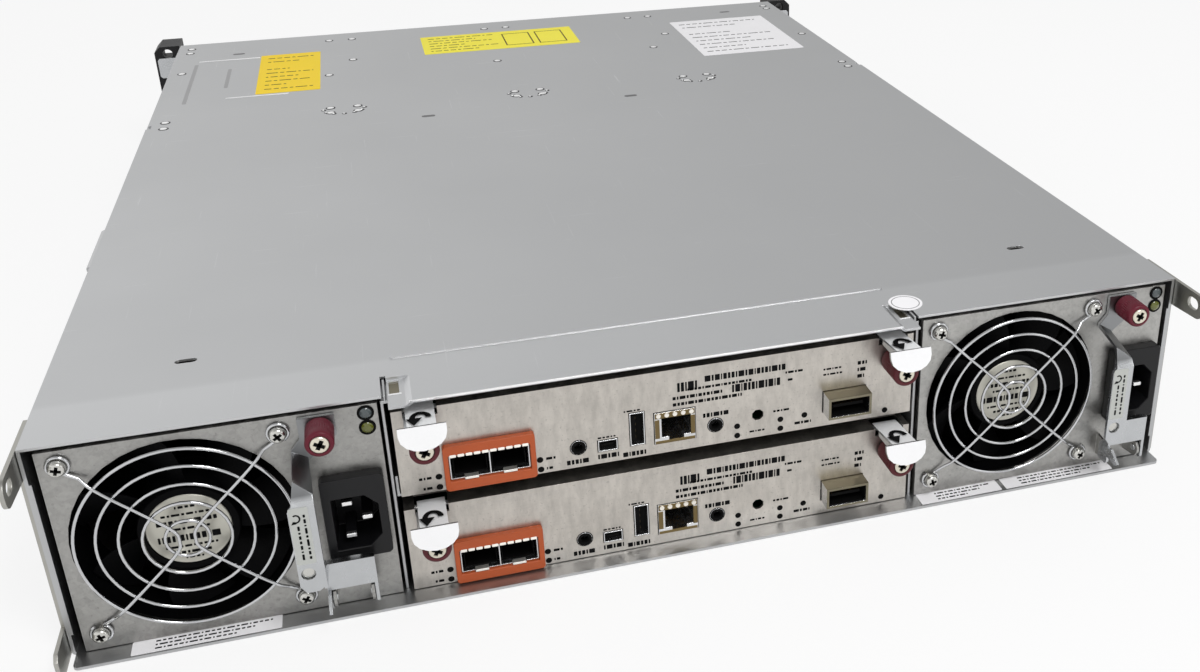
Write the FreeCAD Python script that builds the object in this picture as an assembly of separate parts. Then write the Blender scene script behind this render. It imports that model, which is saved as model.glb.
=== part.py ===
import FreeCAD, Part
import math
import os

# Two-unit rack enclosure for twelve wide disk modules, seen from the rear: two power
# supplies outside, two controllers stacked between them, the disks at the front.
# Millimetres. +X to the right seen from the rear, +Y towards the disks, +Z up.
# The origin is on the underside, at the middle of the chassis's rear edge.

# ---- Chassis --------------------------------------------------------------------------
chassis_width = 447.0
chassis_length = 561.5
chassis_height = 87.2
tray_sheet = 1.2
cover_sheet = 1.0
tray_bend = 1.6
top_flange = 18.0
top_flange_lead = 18.0
lip_corner = 2.0
guide_foot = 1.0
guide_face = 1.5
side_guide_span = (160.0, 205.0)
side_guide_z = 83.5
side_guide_proud = 2.4
rear_flange = 2.0
rear_flange_low = 9.0
rear_flange_high = 73.0
lip_length = 9.0
lip_inset = 1.5
slide_gap = 0.3

# ---- Cover ----------------------------------------------------------------------------
flap_reach = 6.6
flap_slit_width = 2.0
flap_slit_length = 15.0
flap_press = 1.4
flap_press_length = 13.4
flap_press_width = 6.3
flap_press_slope = 2.2
flap_window_inset = 0.9
flap_window_width = 3.5
flap_window_start = 3.1
flap_window_length = 9.1
bead_y = 29.4
bead_width = 3.2
bead_rise = 0.5
bead_inset = 2.0
edge_notch_lead = 4.0
edge_notch_length = 6.0
edge_notch_depth = 2.6
front_inset = 0.8
cover_slot_length = 8.0
cover_slot_width = 3.2
cover_slot_x = 174.5
cover_slot_y = 50.0

# ---- Bay partitions and shelf ---------------------------------------------------------
partition_sheet = 1.2
partition_gap = 1.0
partition_flange = 6.0
partition_start = 1.0
partition_lead = 21.0
partition_tab_sheet = 0.9
partition_tab_length = 12.5
partition_tab_drop = 0.5
shelf_start = 2.0
shelf_rail = 9.0

# ---- Power supplies -------------------------------------------------------------------
supply_width = 112.0
supply_wall_gap = 4.9
supply_height = 83.8
supply_length = 300.0
panel_sheet = 1.2
case_sheet = 0.8
panel_plane = -1.0

fan_size = 80.0
fan_depth = 25.4
fan_offset = -13.9
fan_bore = 38.4
fan_pitch = 71.5
fan_hub = 17.6
fan_blades = 7
blade_tip_gap = 0.9
blade_root_chord = 13.0
blade_tip_chord = 21.0
blade_root_pitch = 48.0
blade_tip_pitch = 26.0
blade_sheet = 1.3
blade_middle = 9.0
rotor_setback = 1.6
motor_seat = 4.0
shaft_radius = 2.0
running_fit = 0.05
duct_flats = 36
hub_flats = 28

guard_wire = 1.4
guard_radii = (37.3, 29.9, 22.4, 14.9, 7.5)
eye_sides = 6
guard_plane = -6.6
guard_eye = 3.4
guard_waist = 3.6

inlet_offset = 43.4
inlet_z = 41.4
inlet_width = 22.6
inlet_height = 34.8
inlet_proud = 4.7
inlet_step = 1.8
inlet_corner = 1.0
inlet_cavity_width = 16.2
inlet_cavity_height = 22.0
inlet_cavity_drop = 1.9
inlet_cavity_shift = 0.1
inlet_chamfer = 4.5
inlet_body_depth = 23.0
pin_depth = 17.0
pin_width = 4.0
pin_sheet = 2.0
pin_spacing = 14.0

supply_screw_offset = 35.6
supply_screw_z = 79.6
supply_screw_radius = 5.1
supply_screw_face = -14.4
supply_screw_tip = 3.0
supply_hole_clear = 0.9

lever_sheet = 1.5
lever_strap_left = 21.9
lever_strap_right = 31.1
lever_root_left = 28.3
lever_root_right = 41.0
lever_root_low = 76.2
lever_top_z = 84.4
lever_fold_left = 24.8
lever_fold_right = 30.4
lever_fold_z = 72.0
lever_fold_fall = 3.4
lever_shelf_setback = (4.4, 1.9)
lever_shelf_fall = (3.9, 8.7)
lever_brow_left = 23.4
lever_brow_z = 60.6
lever_strap_low = 23.8
lever_strap_corner = (2.0, 3.0)
lever_plane = -21.0
lever_hole_radius = 2.5
lever_hole_z = 31.8
lever_hole_inset = 3.5
lever_foot_plane = -12.0
lever_foot_right = 47.8
lever_foot_low = 16.5
lever_foot_high = 28.0
lever_foot_flange = 3.0
lever_cheek_sheet = 1.2
lever_leg_low = 7.2
lever_nose = 8.0
lever_pivot_y = -8.5
lever_pivot_z = 11.0
lever_pivot_radius = 1.5
ear_sheet = 1.2
ear_round = 3.4

# ---- Controllers ----------------------------------------------------------------------
controller_side_gap = 1.9
controller_height = 36.4
controller_lead = 9.0
controller_pitch = 42.6
board_sheet = 1.6
board_lift = 1.5

port_z = 10.0
optical_x = -69.2
optical_width = 28.8
optical_height = 9.6
optical_depth = 47.0
optical_proud = 1.5
optical_wall = 0.5
bezel_width = 34.2
bezel_height = 19.2
bezel_proud = 2.6
bezel_corner = 0.8
bezel_x = -69.1
bezel_low = 0.5
jack_bore = 1.75
jack_radius = 3.0
jack_x = (-35.6, 19.0)
jack_z = 8.8
jack_depth = 12.0
nose_flats = 12
small_serial_x = -24.2
small_serial_width = 7.6
small_serial_height = 4.8
small_serial_z = 7.8
serial_wall = 0.4
serial_x = -12.4
serial_width = 5.8
serial_height = 14.4
serial_z = 12.9
network_x = 2.6
network_width = 16.4
network_height = 13.8
network_plug_width = 11.8
network_plug_height = 8.4
network_z = 11.5
storage_x = 73.2
storage_width = 18.3
storage_height = 9.4
storage_z = 11.2
storage_proud = 7.0
storage_wall = 1.0
socket_depth = 14.0
button_x = 36.5
button_z = 10.2
button_radius = 2.3

controller_screw_x = (-92.3, 93.7)
controller_screw_z = 26.4
controller_screw_radius = 5.4
controller_screw_face = -15.6
screw_shank_radius = 1.9
screw_shank_gap = 0.3
screw_head_radius = 3.1
screw_head_proud = 0.6
screw_tip = 6.0
cap_flats = 20
head_flats = 14
shank_flats = 8

latch_sheet = 1.2
latch_neck_width = 10.4
latch_head_width = 17.0
latch_head_height = 8.6
latch_head_round = 6.0
head_steps = 8
latch_head_lean = 18.0
latch_reach = -16.8
latch_tip_z = 38.0
latch_pivot_y = 4.5
latch_pivot_z = 33.0
latch_pivot_radius = 1.2
latch_clear = 1.0
pivot_flats = 8
latch_notch = 3.4

# ---- Disk modules ---------------------------------------------------------------------
module_columns = 4
module_rows = 3
column_gap = 0.25
row_pitch = 27.3
divider_sheet = 1.0
rail_width = 4.0
rail_sheet = 1.0
module_height = 25.8
module_length = 187.5
module_face = 12.0
face_gap = 0.5
drive_width = 101.6
drive_length = 147.0
drive_height = 25.4
carrier_side = 2.6
handle_length = 68.0
handle_height = 17.0
handle_depth = 5.0
handle_hinge_x = 44.0
handle_gap = 0.4
carrier_floor = 0.4
carrier_floor_length = 60.0
end_flats = 12
finger_room = 6.0

# ---- Midplane, ears and brackets ------------------------------------------------------
cage_lead = 8.0
cage_side_gap = 0.5
midplane_sheet = 3.2
midplane_inset = 4.0
connector_height = 6.0
connector_width = 36.0
connector_rise = 8.0
window_width = 60.0
window_height = 14.0

rack_hole_inset = 9.05
rack_hole_edge = 8.75
rack_hole_height = 76.2
rack_hole_radius = 3.5
rack_head_half = 4.7
ear_depth = 24.0
ear_bevel = 4.0
ear_web = 6.0
bracket_sheet = 1.5
bracket_corner = 4.5
ear_leg_length = 42.0
ear_tab_low = 64.6
ear_tab_high = 79.2
ear_tab_corner = 1.5
rear_bracket_front = 22.0
rear_bracket_back = -20.5
rear_bracket_low_back = -15.7
rear_bracket_low_top = 12.0
rear_bracket_neck = 2.0
rear_bracket_neck_top = 74.5
rear_bracket_nose = 76.0
rear_bracket_margin = 0.6
rear_slot_y = -13.5
rear_slot_length = 7.0
rear_slot_width = 5.0
rear_slot_z = 81.5

# ---- Values that follow ---------------------------------------------------------------
half_width = chassis_width / 2
rack_hole_x = half_width + rack_hole_inset
rack_edge = rack_hole_x + rack_hole_edge
wall_top = chassis_height - cover_sheet
floor_top = tray_sheet
module_floor = floor_top + slide_gap
wall_inside = half_width - tray_sheet
supply_x = half_width - supply_wall_gap - supply_width / 2
partition_x = supply_x - supply_width / 2 - partition_gap - partition_sheet
controller_width = 2 * (partition_x - controller_side_gap)
slit_outer = partition_x + 0.4
flap_half = slit_outer - flap_slit_width
press_top = chassis_height - flap_press
column_pitch = (half_width - column_gap * 2) * 2 / module_columns
module_start = chassis_length - module_length
cage_back_y = module_start - cage_lead
partition_end = cage_back_y - partition_lead
controller_length = partition_end - controller_lead
panel_inside = panel_plane + panel_sheet
fan_z = module_floor + supply_height - case_sheet - fan_size / 2 - 0.1
upper_floor = module_floor + controller_pitch
rack_hole_zs = [chassis_height / 2 + side * rack_hole_height / 2 for side in (-1, 1)]

parts = {}


# ---- Shape helpers --------------------------------------------------------------------
def vector(x, y, z):
    return FreeCAD.Vector(x, y, z)


def block(x0, x1, y0, y1, z0, z1):
    return Part.makeBox(x1 - x0, y1 - y0, z1 - z0, vector(x0, y0, z0))


def rod(radius, start, end):
    run = end.sub(start)
    return Part.makeCylinder(radius, run.Length, start, run)


def rod_x(radius, x0, x1, y, z):
    return rod(radius, vector(x0, y, z), vector(x1, y, z))


def rod_y(radius, x, z, y0, y1):
    return rod(radius, vector(x, y0, z), vector(x, y1, z))


def ring_points(radius, sides, x, z):
    """Corners of a regular polygon in the XZ plane, first corner half a side up from +X."""
    corners = []
    for i in range(sides):
        angle = 2 * math.pi * (i + 0.5) / sides
        corners.append((x + radius * math.cos(angle), z + radius * math.sin(angle)))
    return corners


def facet_y(radius, sides, x, z, y0, y1):
    """Flat-sided rod along Y, radius across its flats."""
    return prism_y(ring_points(radius / math.cos(math.pi / sides), sides, x, z), y0, y1)


def facet_x(radius, sides, y, z, x0, x1):
    """Flat-sided rod along X, radius across its flats."""
    return prism_x(ring_points(radius / math.cos(math.pi / sides), sides, y, z), x0, x1)


def face_of(points):
    return Part.Face(Part.makePolygon(points + [points[0]]))


def prism_x(outline, x0, x1):
    return face_of([vector(x0, y, z) for y, z in outline]).extrude(vector(x1 - x0, 0, 0))


def prism_y(outline, y0, y1):
    return face_of([vector(x, y0, z) for x, z in outline]).extrude(vector(0, y1 - y0, 0))


def prism_z(outline, z0, z1):
    return face_of([vector(x, y, z0) for x, y in outline]).extrude(vector(0, 0, z1 - z0))


def join(shapes):
    first = shapes[0]
    if len(shapes) == 1:
        return first
    return first.fuse(shapes[1:]).removeSplitter()


def cut(shape, tools):
    return shape.cut(tools).removeSplitter() if len(tools) > 1 else shape.cut(tools[0])


def edges_along(shape, axis, test):
    chosen = []
    for edge in shape.Edges:
        if len(edge.Vertexes) != 2:
            continue
        run = edge.Vertexes[1].Point.sub(edge.Vertexes[0].Point)
        if run.Length > 0.01 and abs(run.normalize().dot(axis)) > 0.999 and test(edge.CenterOfMass):
            chosen.append(edge)
    return chosen


def offset_path(path, distance):
    """Points of an open path moved sideways by distance, with mitred corners."""
    moved = []
    last = len(path) - 1
    for i, (a, b) in enumerate(path):
        normals = []
        for j in (i - 1, i):
            if 0 <= j < last:
                run_a = path[j + 1][0] - path[j][0]
                run_b = path[j + 1][1] - path[j][1]
                length = math.hypot(run_a, run_b)
                normals.append((-run_b / length, run_a / length))
        na = sum(n[0] for n in normals) / len(normals)
        nb = sum(n[1] for n in normals) / len(normals)
        square = na * na + nb * nb
        moved.append((a + distance * na / square, b + distance * nb / square))
    return moved


def bent_sheet(path, sheet):
    """Outline of a folded sheet whose one skin follows path."""
    return path + offset_path(path, sheet)[::-1]


def slot_prism(centre, along, across, depth, length, width):
    """Round-ended slot tool: length runs along, width across, and it is depth deep each way."""
    half = (length - width) / 2
    radius = width / 2
    normal = along.cross(across)
    base = centre - normal * depth
    a = base + along * half
    b = base - along * half
    edges = [
        Part.makeLine(b + across * radius, a + across * radius),
        Part.Arc(a + across * radius, a + along * radius, a - across * radius).toShape(),
        Part.makeLine(a - across * radius, b - across * radius),
        Part.Arc(b - across * radius, b - along * radius, b + across * radius).toShape(),
    ]
    return Part.Face(Part.Wire(edges)).extrude(normal * (2 * depth))


def moved(shape, x=0, y=0, z=0):
    copy = shape.copy()
    copy.translate(vector(x, y, z))
    return copy


def mirrored(shape):
    return shape.mirror(vector(0, 0, 0), vector(1, 0, 0))


def keep(name, *solids):
    parts[name] = solids[0] if len(solids) == 1 else Part.makeCompound(list(solids))


# ---- Chassis shell --------------------------------------------------------------------
def base_tray():
    """Bottom and both side walls folded from one sheet, with flanges under the lid's front."""
    path = [(-half_width, wall_top), (-half_width, 0), (half_width, 0), (half_width, wall_top)]
    shell = prism_y(bent_sheet(path, tray_sheet), 0, chassis_length)
    along = vector(0, 1, 0)
    outer = edges_along(shell, along, lambda c: abs(c.x) > half_width - 0.1 and c.z < 0.1)
    shell = shell.makeFillet(tray_bend, outer)
    inner = edges_along(shell, along,
                        lambda c: abs(abs(c.x) - wall_inside) < 0.1 and c.z < floor_top + 0.1)
    shell = shell.makeFillet(tray_bend - tray_sheet, inner)
    lip_x = half_width - lip_inset
    lip = block(-lip_x, lip_x, -lip_length, 0, 0, tray_sheet)
    corners = edges_along(lip, vector(0, 0, 1), lambda c: c.y < -lip_length + 0.1)
    lip = lip.makeFillet(lip_corner, corners)
    end = -half_width + rear_flange
    flange = block(-wall_inside, end, 0, tray_sheet, rear_flange_low, rear_flange_high)
    shelf = block(-wall_inside, -half_width + top_flange, cage_back_y - top_flange_lead, chassis_length,
                  wall_top - tray_sheet, wall_top)
    back, front = side_guide_span
    proud = -half_width - side_guide_proud
    guide = prism_y([
        (-half_width, side_guide_z - guide_foot),
        (proud, side_guide_z),
        (proud, side_guide_z + guide_face),
        (-half_width, side_guide_z + guide_face + guide_foot),
    ], back, front)
    sides = [flange, shelf, guide]
    return join([shell, lip] + sides + [mirrored(side) for side in sides])


def top_cover():
    """Flat lid with a flap over the controllers, pressed down at its corners, and side notches."""
    under = wall_top
    top = chassis_height
    front_x = half_width - front_inset
    notch_x = half_width - edge_notch_depth
    notch_back = cage_back_y - edge_notch_lead - edge_notch_length / 2
    notch_front = notch_back + edge_notch_length
    right = [
        (front_x, chassis_length),
        (front_x, notch_front),
        (notch_x, notch_front),
        (notch_x, notch_back),
        (half_width, notch_back),
        (half_width, 0),
        (slit_outer, 0),
        (slit_outer, flap_slit_length),
        (flap_half, flap_slit_length),
        (flap_half, -flap_reach),
    ]
    left = [(-x, y) for x, y in right[::-1]]
    lid = prism_z(left + right, under, top)
    bead = slot_prism(vector(0, bead_y, top), vector(1, 0, 0), vector(0, 1, 0), bead_rise,
                      2 * (flap_half - bead_inset), bead_width)
    pieces = [lid, bead]
    tools = []
    for side in (-1, 1):
        pieces.append(pressed_corner(side, cover_sheet, cover_sheet))
        tools.append(pressed_corner(side, 0, -1))
        centre = vector(side * cover_slot_x, cover_slot_y, top)
        tools.append(slot_prism(centre, vector(1, 0, 0), vector(0, 1, 0), 3, cover_slot_length, cover_slot_width))
        a = side * (flap_half - flap_window_inset)
        b = a - side * flap_window_width
        tools.append(block(min(a, b), max(a, b), flap_window_start, flap_window_start + flap_window_length,
                           press_top - 2 * cover_sheet, top + 1))
    return cut(join(pieces), tools)


def pressed_corner(side, sheet, lift):
    """Body of a flap corner pressed down: its skin with a sheet, or the hollow above it with none."""
    low = press_top - sheet
    high = chassis_height - lift if sheet else chassis_height + 1
    inner = flap_half - flap_press_width
    edge = flap_half if sheet else flap_half + 1
    outline = [
        (side * edge, high),
        (side * edge, low),
        (side * (inner - sheet * 0.5), low),
        (side * (inner - flap_press_slope - sheet * 0.5), chassis_height - sheet),
        (side * (inner - flap_press_slope - sheet * 0.5), high),
    ]
    start = -flap_reach if sheet else -flap_reach - 1
    return prism_y(outline, start, flap_press_length + sheet)


def bay_frame():
    """Two partition walls beside the controllers and the folded shelf between them."""
    outer = partition_x + partition_sheet
    flange_top = press_top - cover_sheet - slide_gap
    path = [(-outer, floor_top), (-outer, flange_top), (-partition_x + partition_flange, flange_top)]
    wall = prism_y(bent_sheet(path, -partition_sheet), partition_start, partition_end)
    tab_x = -slit_outer + (flap_slit_width - partition_tab_sheet) / 2
    tab = block(tab_x, tab_x + partition_tab_sheet, partition_start, partition_start + partition_tab_length,
                flange_top - partition_sheet, chassis_height - partition_tab_drop)
    left = join([wall, tab])
    shelf_z = upper_floor - slide_gap - tray_sheet
    edge = partition_x - slide_gap
    path = [(-edge, shelf_z + shelf_rail), (-edge, shelf_z), (edge, shelf_z), (edge, shelf_z + shelf_rail)]
    shelf = prism_y(bent_sheet(path, tray_sheet), shelf_start, partition_end - 2)
    return left, mirrored(left), shelf


# ---- Disk cage, midplane and front ears -----------------------------------------------
def column_x(column):
    return (column - (module_columns - 1) / 2) * column_pitch


def row_floor(row):
    return module_floor + row * row_pitch


def disk_cage():
    """Dividers with module rails, standing on a back plate with a window for each connector."""
    cage_top = wall_top - tray_sheet - slide_gap
    side = wall_inside - cage_side_gap
    back = block(-side, side, cage_back_y, cage_back_y + tray_sheet, floor_top, cage_top)
    tools = []
    for column in range(module_columns):
        for row in range(module_rows):
            x = column_x(column)
            z = row_floor(row) + connector_rise
            tools.append(block(x - window_width / 2, x + window_width / 2, cage_back_y - 1,
                               cage_back_y + tray_sheet + 1, z - window_height / 2, z + window_height / 2))
    pieces = [cut(back, tools)]
    front = chassis_length - 0.5
    rail_zs = [row_floor(row) - slide_gap - rail_sheet for row in range(1, module_rows)]
    half = divider_sheet / 2
    for line in range(1, module_columns):
        x = column_x(line) - column_pitch / 2
        pieces.append(block(x - half, x + half, cage_back_y, front, floor_top, cage_top))
        for z in rail_zs:
            pieces.append(block(x - rail_width, x + rail_width, cage_back_y, front, z, z + rail_sheet))
    for side_x in (-side, side - divider_sheet):
        pieces.append(block(side_x, side_x + divider_sheet, cage_back_y, front, floor_top, cage_top))
    for z in rail_zs:
        pieces.append(block(-side, -side + rail_width, cage_back_y, front, z, z + rail_sheet))
        pieces.append(block(side - rail_width, side, cage_back_y, front, z, z + rail_sheet))
    return join(pieces)


def midplane():
    """Circuit board behind the cage with a connector for each module, supply and controller."""
    side = wall_inside - midplane_inset
    back = cage_back_y - midplane_sheet
    top = wall_top - tray_sheet - 2
    board = block(-side, side, back, cage_back_y, floor_top + 1, top)
    solids = [board]
    for column in range(module_columns):
        for row in range(module_rows):
            x = column_x(column)
            z = row_floor(row) + connector_rise
            solids.append(block(x - connector_width / 2, x + connector_width / 2, cage_back_y,
                                module_start - 0.5, z - connector_height / 2, z + connector_height / 2))
    for floor in (module_floor, upper_floor):
        z = floor + board_lift + case_sheet + board_sheet / 2
        solids.append(block(-45, 45, controller_length + 2, back, z - 2.5, z + 7))
    for side_x in (-supply_x, supply_x):
        solids.append(block(side_x - 30, side_x + 30, supply_length + 2, back,
                            module_floor + 8, module_floor + 20))
    return solids


def ear_bracket():
    """Zinc angle on the left wall: a leg along the side and two tabs behind the ear."""
    outside = -half_width
    leg = block(outside - bracket_sheet, outside, chassis_length - ear_leg_length, chassis_length,
                floor_top + 2, wall_top - 2)
    tab_height = ear_tab_high - ear_tab_low
    tabs = []
    for low in (ear_tab_low, chassis_height - ear_tab_high):
        tab = block(-rack_edge + bracket_sheet, outside, chassis_length - bracket_sheet, chassis_length,
                    low, low + tab_height)
        corners = edges_along(tab, vector(0, 1, 0), lambda c: c.x < outside - 5)
        tabs.append(tab.makeChamfer(ear_tab_corner, corners))
    return join([leg] + tabs)


def rack_ear():
    """Black moulded ear in front of the left bracket, bevelled at its top outer edges."""
    outer = -rack_edge
    inner = -half_width - slide_gap
    back = chassis_length
    front = back + ear_depth
    body = block(outer, inner, back, front, 0, chassis_height)
    bevels = edges_along(body, vector(0, 1, 0), lambda c: c.x < outer + 0.1)
    body = body.makeChamfer(ear_bevel, bevels)
    tools = []
    for z in rack_hole_zs:
        x = -rack_hole_x
        tools.append(rod_y(rack_hole_radius, x, z, back - 1, back + ear_web + 1))
        tools.append(block(x - rack_head_half, x + rack_head_half, back + ear_web, front + 1,
                           z - rack_head_half, z + rack_head_half))
    return cut(body, tools)


def rear_bracket(low_tab):
    """Plate on the left wall with a slotted tab at its top and, where asked, a short one below."""
    low = rear_bracket_margin
    top = chassis_height - rear_bracket_margin
    neck = rear_bracket_neck
    foot = [(neck, low)]
    if low_tab:
        foot = [(rear_bracket_low_back, low), (rear_bracket_low_back, rear_bracket_low_top),
                (neck, rear_bracket_low_top)]
    outline = [(rear_bracket_front, low)] + foot + [
        (neck, rear_bracket_neck_top),
        (rear_bracket_back, rear_bracket_nose),
        (rear_bracket_back, top),
        (rear_bracket_front, top),
    ]
    outside = -half_width - slide_gap
    plate = prism_x(outline, outside - bracket_sheet, outside)
    across = vector(1, 0, 0)
    upper = edges_along(plate, across, lambda c: c.y < rear_bracket_back + 0.1)
    plate = plate.makeFillet(bracket_corner, upper)
    if low_tab:
        lower = edges_along(plate, across, lambda c: abs(c.y - rear_bracket_low_back) < 0.1
                            and c.z < rear_bracket_low_top + 0.1)
        plate = plate.makeChamfer(bracket_corner / 2, lower)
    centre = vector(outside, rear_slot_y, rear_slot_z)
    return cut(plate, [slot_prism(centre, vector(0, 1, 0), vector(0, 0, 1), 3, rear_slot_length, rear_slot_width)])


# ---- Disk modules ---------------------------------------------------------------------
def disk_module():
    """Carrier with its face, side rails and handle recess, and the drive it holds."""
    face_width = column_pitch - face_gap
    face_height = row_pitch - face_gap
    face_back = chassis_length + slide_gap
    low = -slide_gap - 0.2
    face = block(-face_width / 2, face_width / 2, face_back, face_back + module_face, low, low + face_height)
    front = face_back + module_face
    mid = low + face_height / 2
    pocket_back = front - handle_depth - handle_gap - 0.6
    pocket_start = handle_hinge_x - handle_length - handle_gap
    pocket = block(pocket_start - finger_room, handle_hinge_x + handle_depth / 2 + handle_gap, pocket_back,
                   front + 1, mid - handle_height / 2 - handle_gap, mid + handle_height / 2 + handle_gap)
    face = cut(face, [pocket])
    inner = drive_width / 2
    rail_back = module_start + 8
    rails = []
    for side in (-1, 1):
        a = side * inner
        b = side * (inner + carrier_side)
        rails.append(block(min(a, b), max(a, b), rail_back, face_back, carrier_floor, module_height - 1))
    floor = block(-inner - carrier_side, inner + carrier_side, chassis_length - carrier_floor_length,
                  face_back, 0, carrier_floor)
    carrier = join([face, floor] + rails)
    drive_front = face_back - 4
    drive = block(-inner + 0.2, inner - 0.2, drive_front - drive_length, drive_front,
                  carrier_floor, drive_height)
    edge = block(-connector_width / 2, connector_width / 2, module_start, drive_front - drive_length,
                 connector_rise - 2, connector_rise + 2)
    return carrier, join([drive, edge])


def handle():
    """Release handle with a round hinge end and a finger lip at its free end."""
    face_back = chassis_length + slide_gap
    low = -slide_gap - 0.2
    mid = low + (row_pitch - face_gap) / 2
    front = face_back + module_face
    back = front - handle_depth
    centre = back + handle_depth / 2
    bar = block(handle_hinge_x - handle_length, handle_hinge_x, back, front,
                mid - handle_height / 2, mid + handle_height / 2)
    corners = ring_points(handle_depth / 2 / math.cos(math.pi / end_flats), end_flats, handle_hinge_x, centre)
    end = prism_z(corners, mid - handle_height / 2, mid + handle_height / 2)
    grip = block(handle_hinge_x - handle_length + 8, handle_hinge_x - handle_length + 22, back + 2.5, front + 1,
                 mid - handle_height / 2 + 3, mid + handle_height / 2 - 3)
    return cut(join([bar, end]), [grip])


# ---- Power supply ---------------------------------------------------------------------
def supply_case():
    """Sheet case open at its inner end; the rear panel carries fan, inlet, screw and ears."""
    half = supply_width / 2
    low = module_floor
    top = low + supply_height
    case = block(-half, half, panel_inside, supply_length, low, top)
    hollow = block(-half + case_sheet, half - case_sheet, panel_inside - 1, supply_length + 1,
                   low + case_sheet, top - case_sheet)
    panel = block(-half, half, panel_plane, panel_inside, low, top)
    case = join([cut(case, [hollow]), panel])
    back = panel_plane - 1
    front = panel_inside + 1
    tools = [facet_y(fan_bore, duct_flats, fan_offset, fan_z, back, front)]
    body_half = inlet_width / 2 - inlet_step
    tools.append(block(inlet_offset - body_half - 0.3, inlet_offset + body_half + 0.3, back, front,
                       inlet_z - inlet_height / 2 + inlet_step - 0.3, inlet_z + inlet_height / 2 - inlet_step + 0.3))
    hole = screw_shank_radius + supply_hole_clear
    tools.append(facet_y(hole, shank_flats, supply_screw_offset, supply_screw_z, back, front))
    return join([cut(case, tools)] + lever_ears())


def lever_ears():
    """Pair of ears on the supply's panel that hold the lever's pins between its cheeks."""
    y = lever_pivot_y
    z = lever_pivot_z
    outline = [(panel_plane, z - ear_round - 1.6), (y - ear_round * 0.5, z - ear_round), (y - ear_round, z - 1),
               (y - ear_round, z + 1), (y - ear_round * 0.5, z + ear_round), (panel_plane, z + ear_round + 1.6)]
    inside_left = lever_strap_right + slide_gap
    inside_right = lever_foot_right - lever_cheek_sheet - slide_gap
    ears = []
    for start in (inside_left, inside_right - ear_sheet):
        ear = prism_x(outline, start, start + ear_sheet)
        ears.append(cut(ear, [rod_x(lever_pivot_radius + running_fit, start - 1, start + ear_sheet + 1, y, z)]))
    return ears


def fan_frame():
    """Square fan body with a round duct, motor seat and four struts at its inner face."""
    half = fan_size / 2
    start = panel_inside
    end = start + fan_depth
    body = block(fan_offset - half, fan_offset + half, start, end, fan_z - half, fan_z + half)
    body = cut(body, [facet_y(fan_bore, duct_flats, fan_offset, fan_z, start - 1, end + 1)])
    seat = facet_y(fan_hub, hub_flats, fan_offset, fan_z, end - motor_seat, end)
    struts = []
    for turn in range(4):
        strut = block(fan_offset - 2, fan_offset + 2, end - 3.2, end, fan_z + fan_hub - 2, fan_z + fan_bore + 0.8)
        strut.rotate(vector(fan_offset, 0, fan_z), vector(0, 1, 0), 45 + 90 * turn)
        struts.append(strut)
    frame = join([body, seat] + struts)
    return cut(frame, [rod_y(shaft_radius + running_fit, fan_offset, fan_z, end - 10, end + 1)])


def fan_blade():
    """One blade: an inner and an outer panel, the outer one flatter and wider."""
    start = fan_hub - 1.0
    tip = fan_bore - blade_tip_gap
    bend = (start + tip) / 2
    panels = []
    for near, far, pitch in ((start, bend + 0.4, blade_root_pitch), (bend - 0.4, tip, blade_tip_pitch)):
        near_half = blade_chord(near) / 2
        far_half = blade_chord(far) / 2
        outline = [(near, -near_half), (far, -far_half), (far, far_half), (near, near_half)]
        panel = prism_z(outline, -blade_sheet / 2, blade_sheet / 2)
        panel.rotate(vector(0, 0, 0), vector(1, 0, 0), 90 - pitch + 90)
        panels.append(panel)
    return join(panels)


def blade_chord(radius):
    share = (radius - fan_hub) / (fan_bore - fan_hub)
    return blade_root_chord + share * (blade_tip_chord - blade_root_chord)


def fan_rotor():
    """Hub and pitched blades on a shaft that turns in the frame's bearing."""
    start = panel_inside + rotor_setback
    end = panel_inside + fan_depth
    hub_end = end - motor_seat - 1.0
    hub = facet_y(fan_hub, hub_flats, 0, 0, start, hub_end)
    shaft = rod_y(shaft_radius, 0, 0, hub_end - 1, end - 0.5)
    pieces = [hub, shaft]
    blade = fan_blade()
    blade.translate(vector(0, start + blade_middle, 0))
    for turn in range(fan_blades):
        turned = blade.copy()
        turned.rotate(vector(0, 0, 0), vector(0, 1, 0), turn * 360.0 / fan_blades)
        pieces.append(turned)
    return moved(join(pieces), x=fan_offset, z=fan_z)


def ring_of(radius, sides, wire, x, z, y):
    """Flat-sided ring of square wire centred at x, z."""
    outer = prism_y(ring_points(radius + wire / 2, sides, x, z), y, y + wire)
    return cut(outer, [prism_y(ring_points(radius - wire / 2, sides, x, z), y - 1, y + wire + 1)])


def fan_guard():
    """Concentric wire rings on two bent wires whose ends are eyes under the fan screws."""
    wire = guard_wire
    pieces = []
    for radius in guard_radii:
        sides = 2 * round(4 + radius / 3)
        pieces.append(ring_of(radius, sides, wire, fan_offset, fan_z, guard_plane))
    seat = panel_plane - wire - slide_gap
    spoke_back = guard_plane + wire * 0.8
    reach = fan_pitch / 2
    for side in (-1, 1):
        for up in (-1, 1):
            eye_x = fan_offset + side * reach
            eye_z = fan_z + up * reach
            pieces.append(ring_of(guard_eye, eye_sides, wire, eye_x, eye_z, seat))
            corner = guard_eye * 0.8
            start = vector(eye_x - side * corner, seat + wire / 2, eye_z - up * corner)
            knee = vector(eye_x - side * (corner + 6.5), spoke_back + wire / 2, eye_z - up * (corner + 6.5))
            inner = vector(fan_offset + side * guard_waist, spoke_back + wire / 2, fan_z + up * 6)
            pieces.append(wire_run(start, knee, wire))
            pieces.append(wire_run(knee, inner, wire))
        upper = vector(fan_offset + side * guard_waist, spoke_back + wire / 2, fan_z + 6)
        lower = vector(fan_offset + side * guard_waist, spoke_back + wire / 2, fan_z - 6)
        pieces.append(wire_run(upper, lower, wire))
    return join(pieces)


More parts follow.
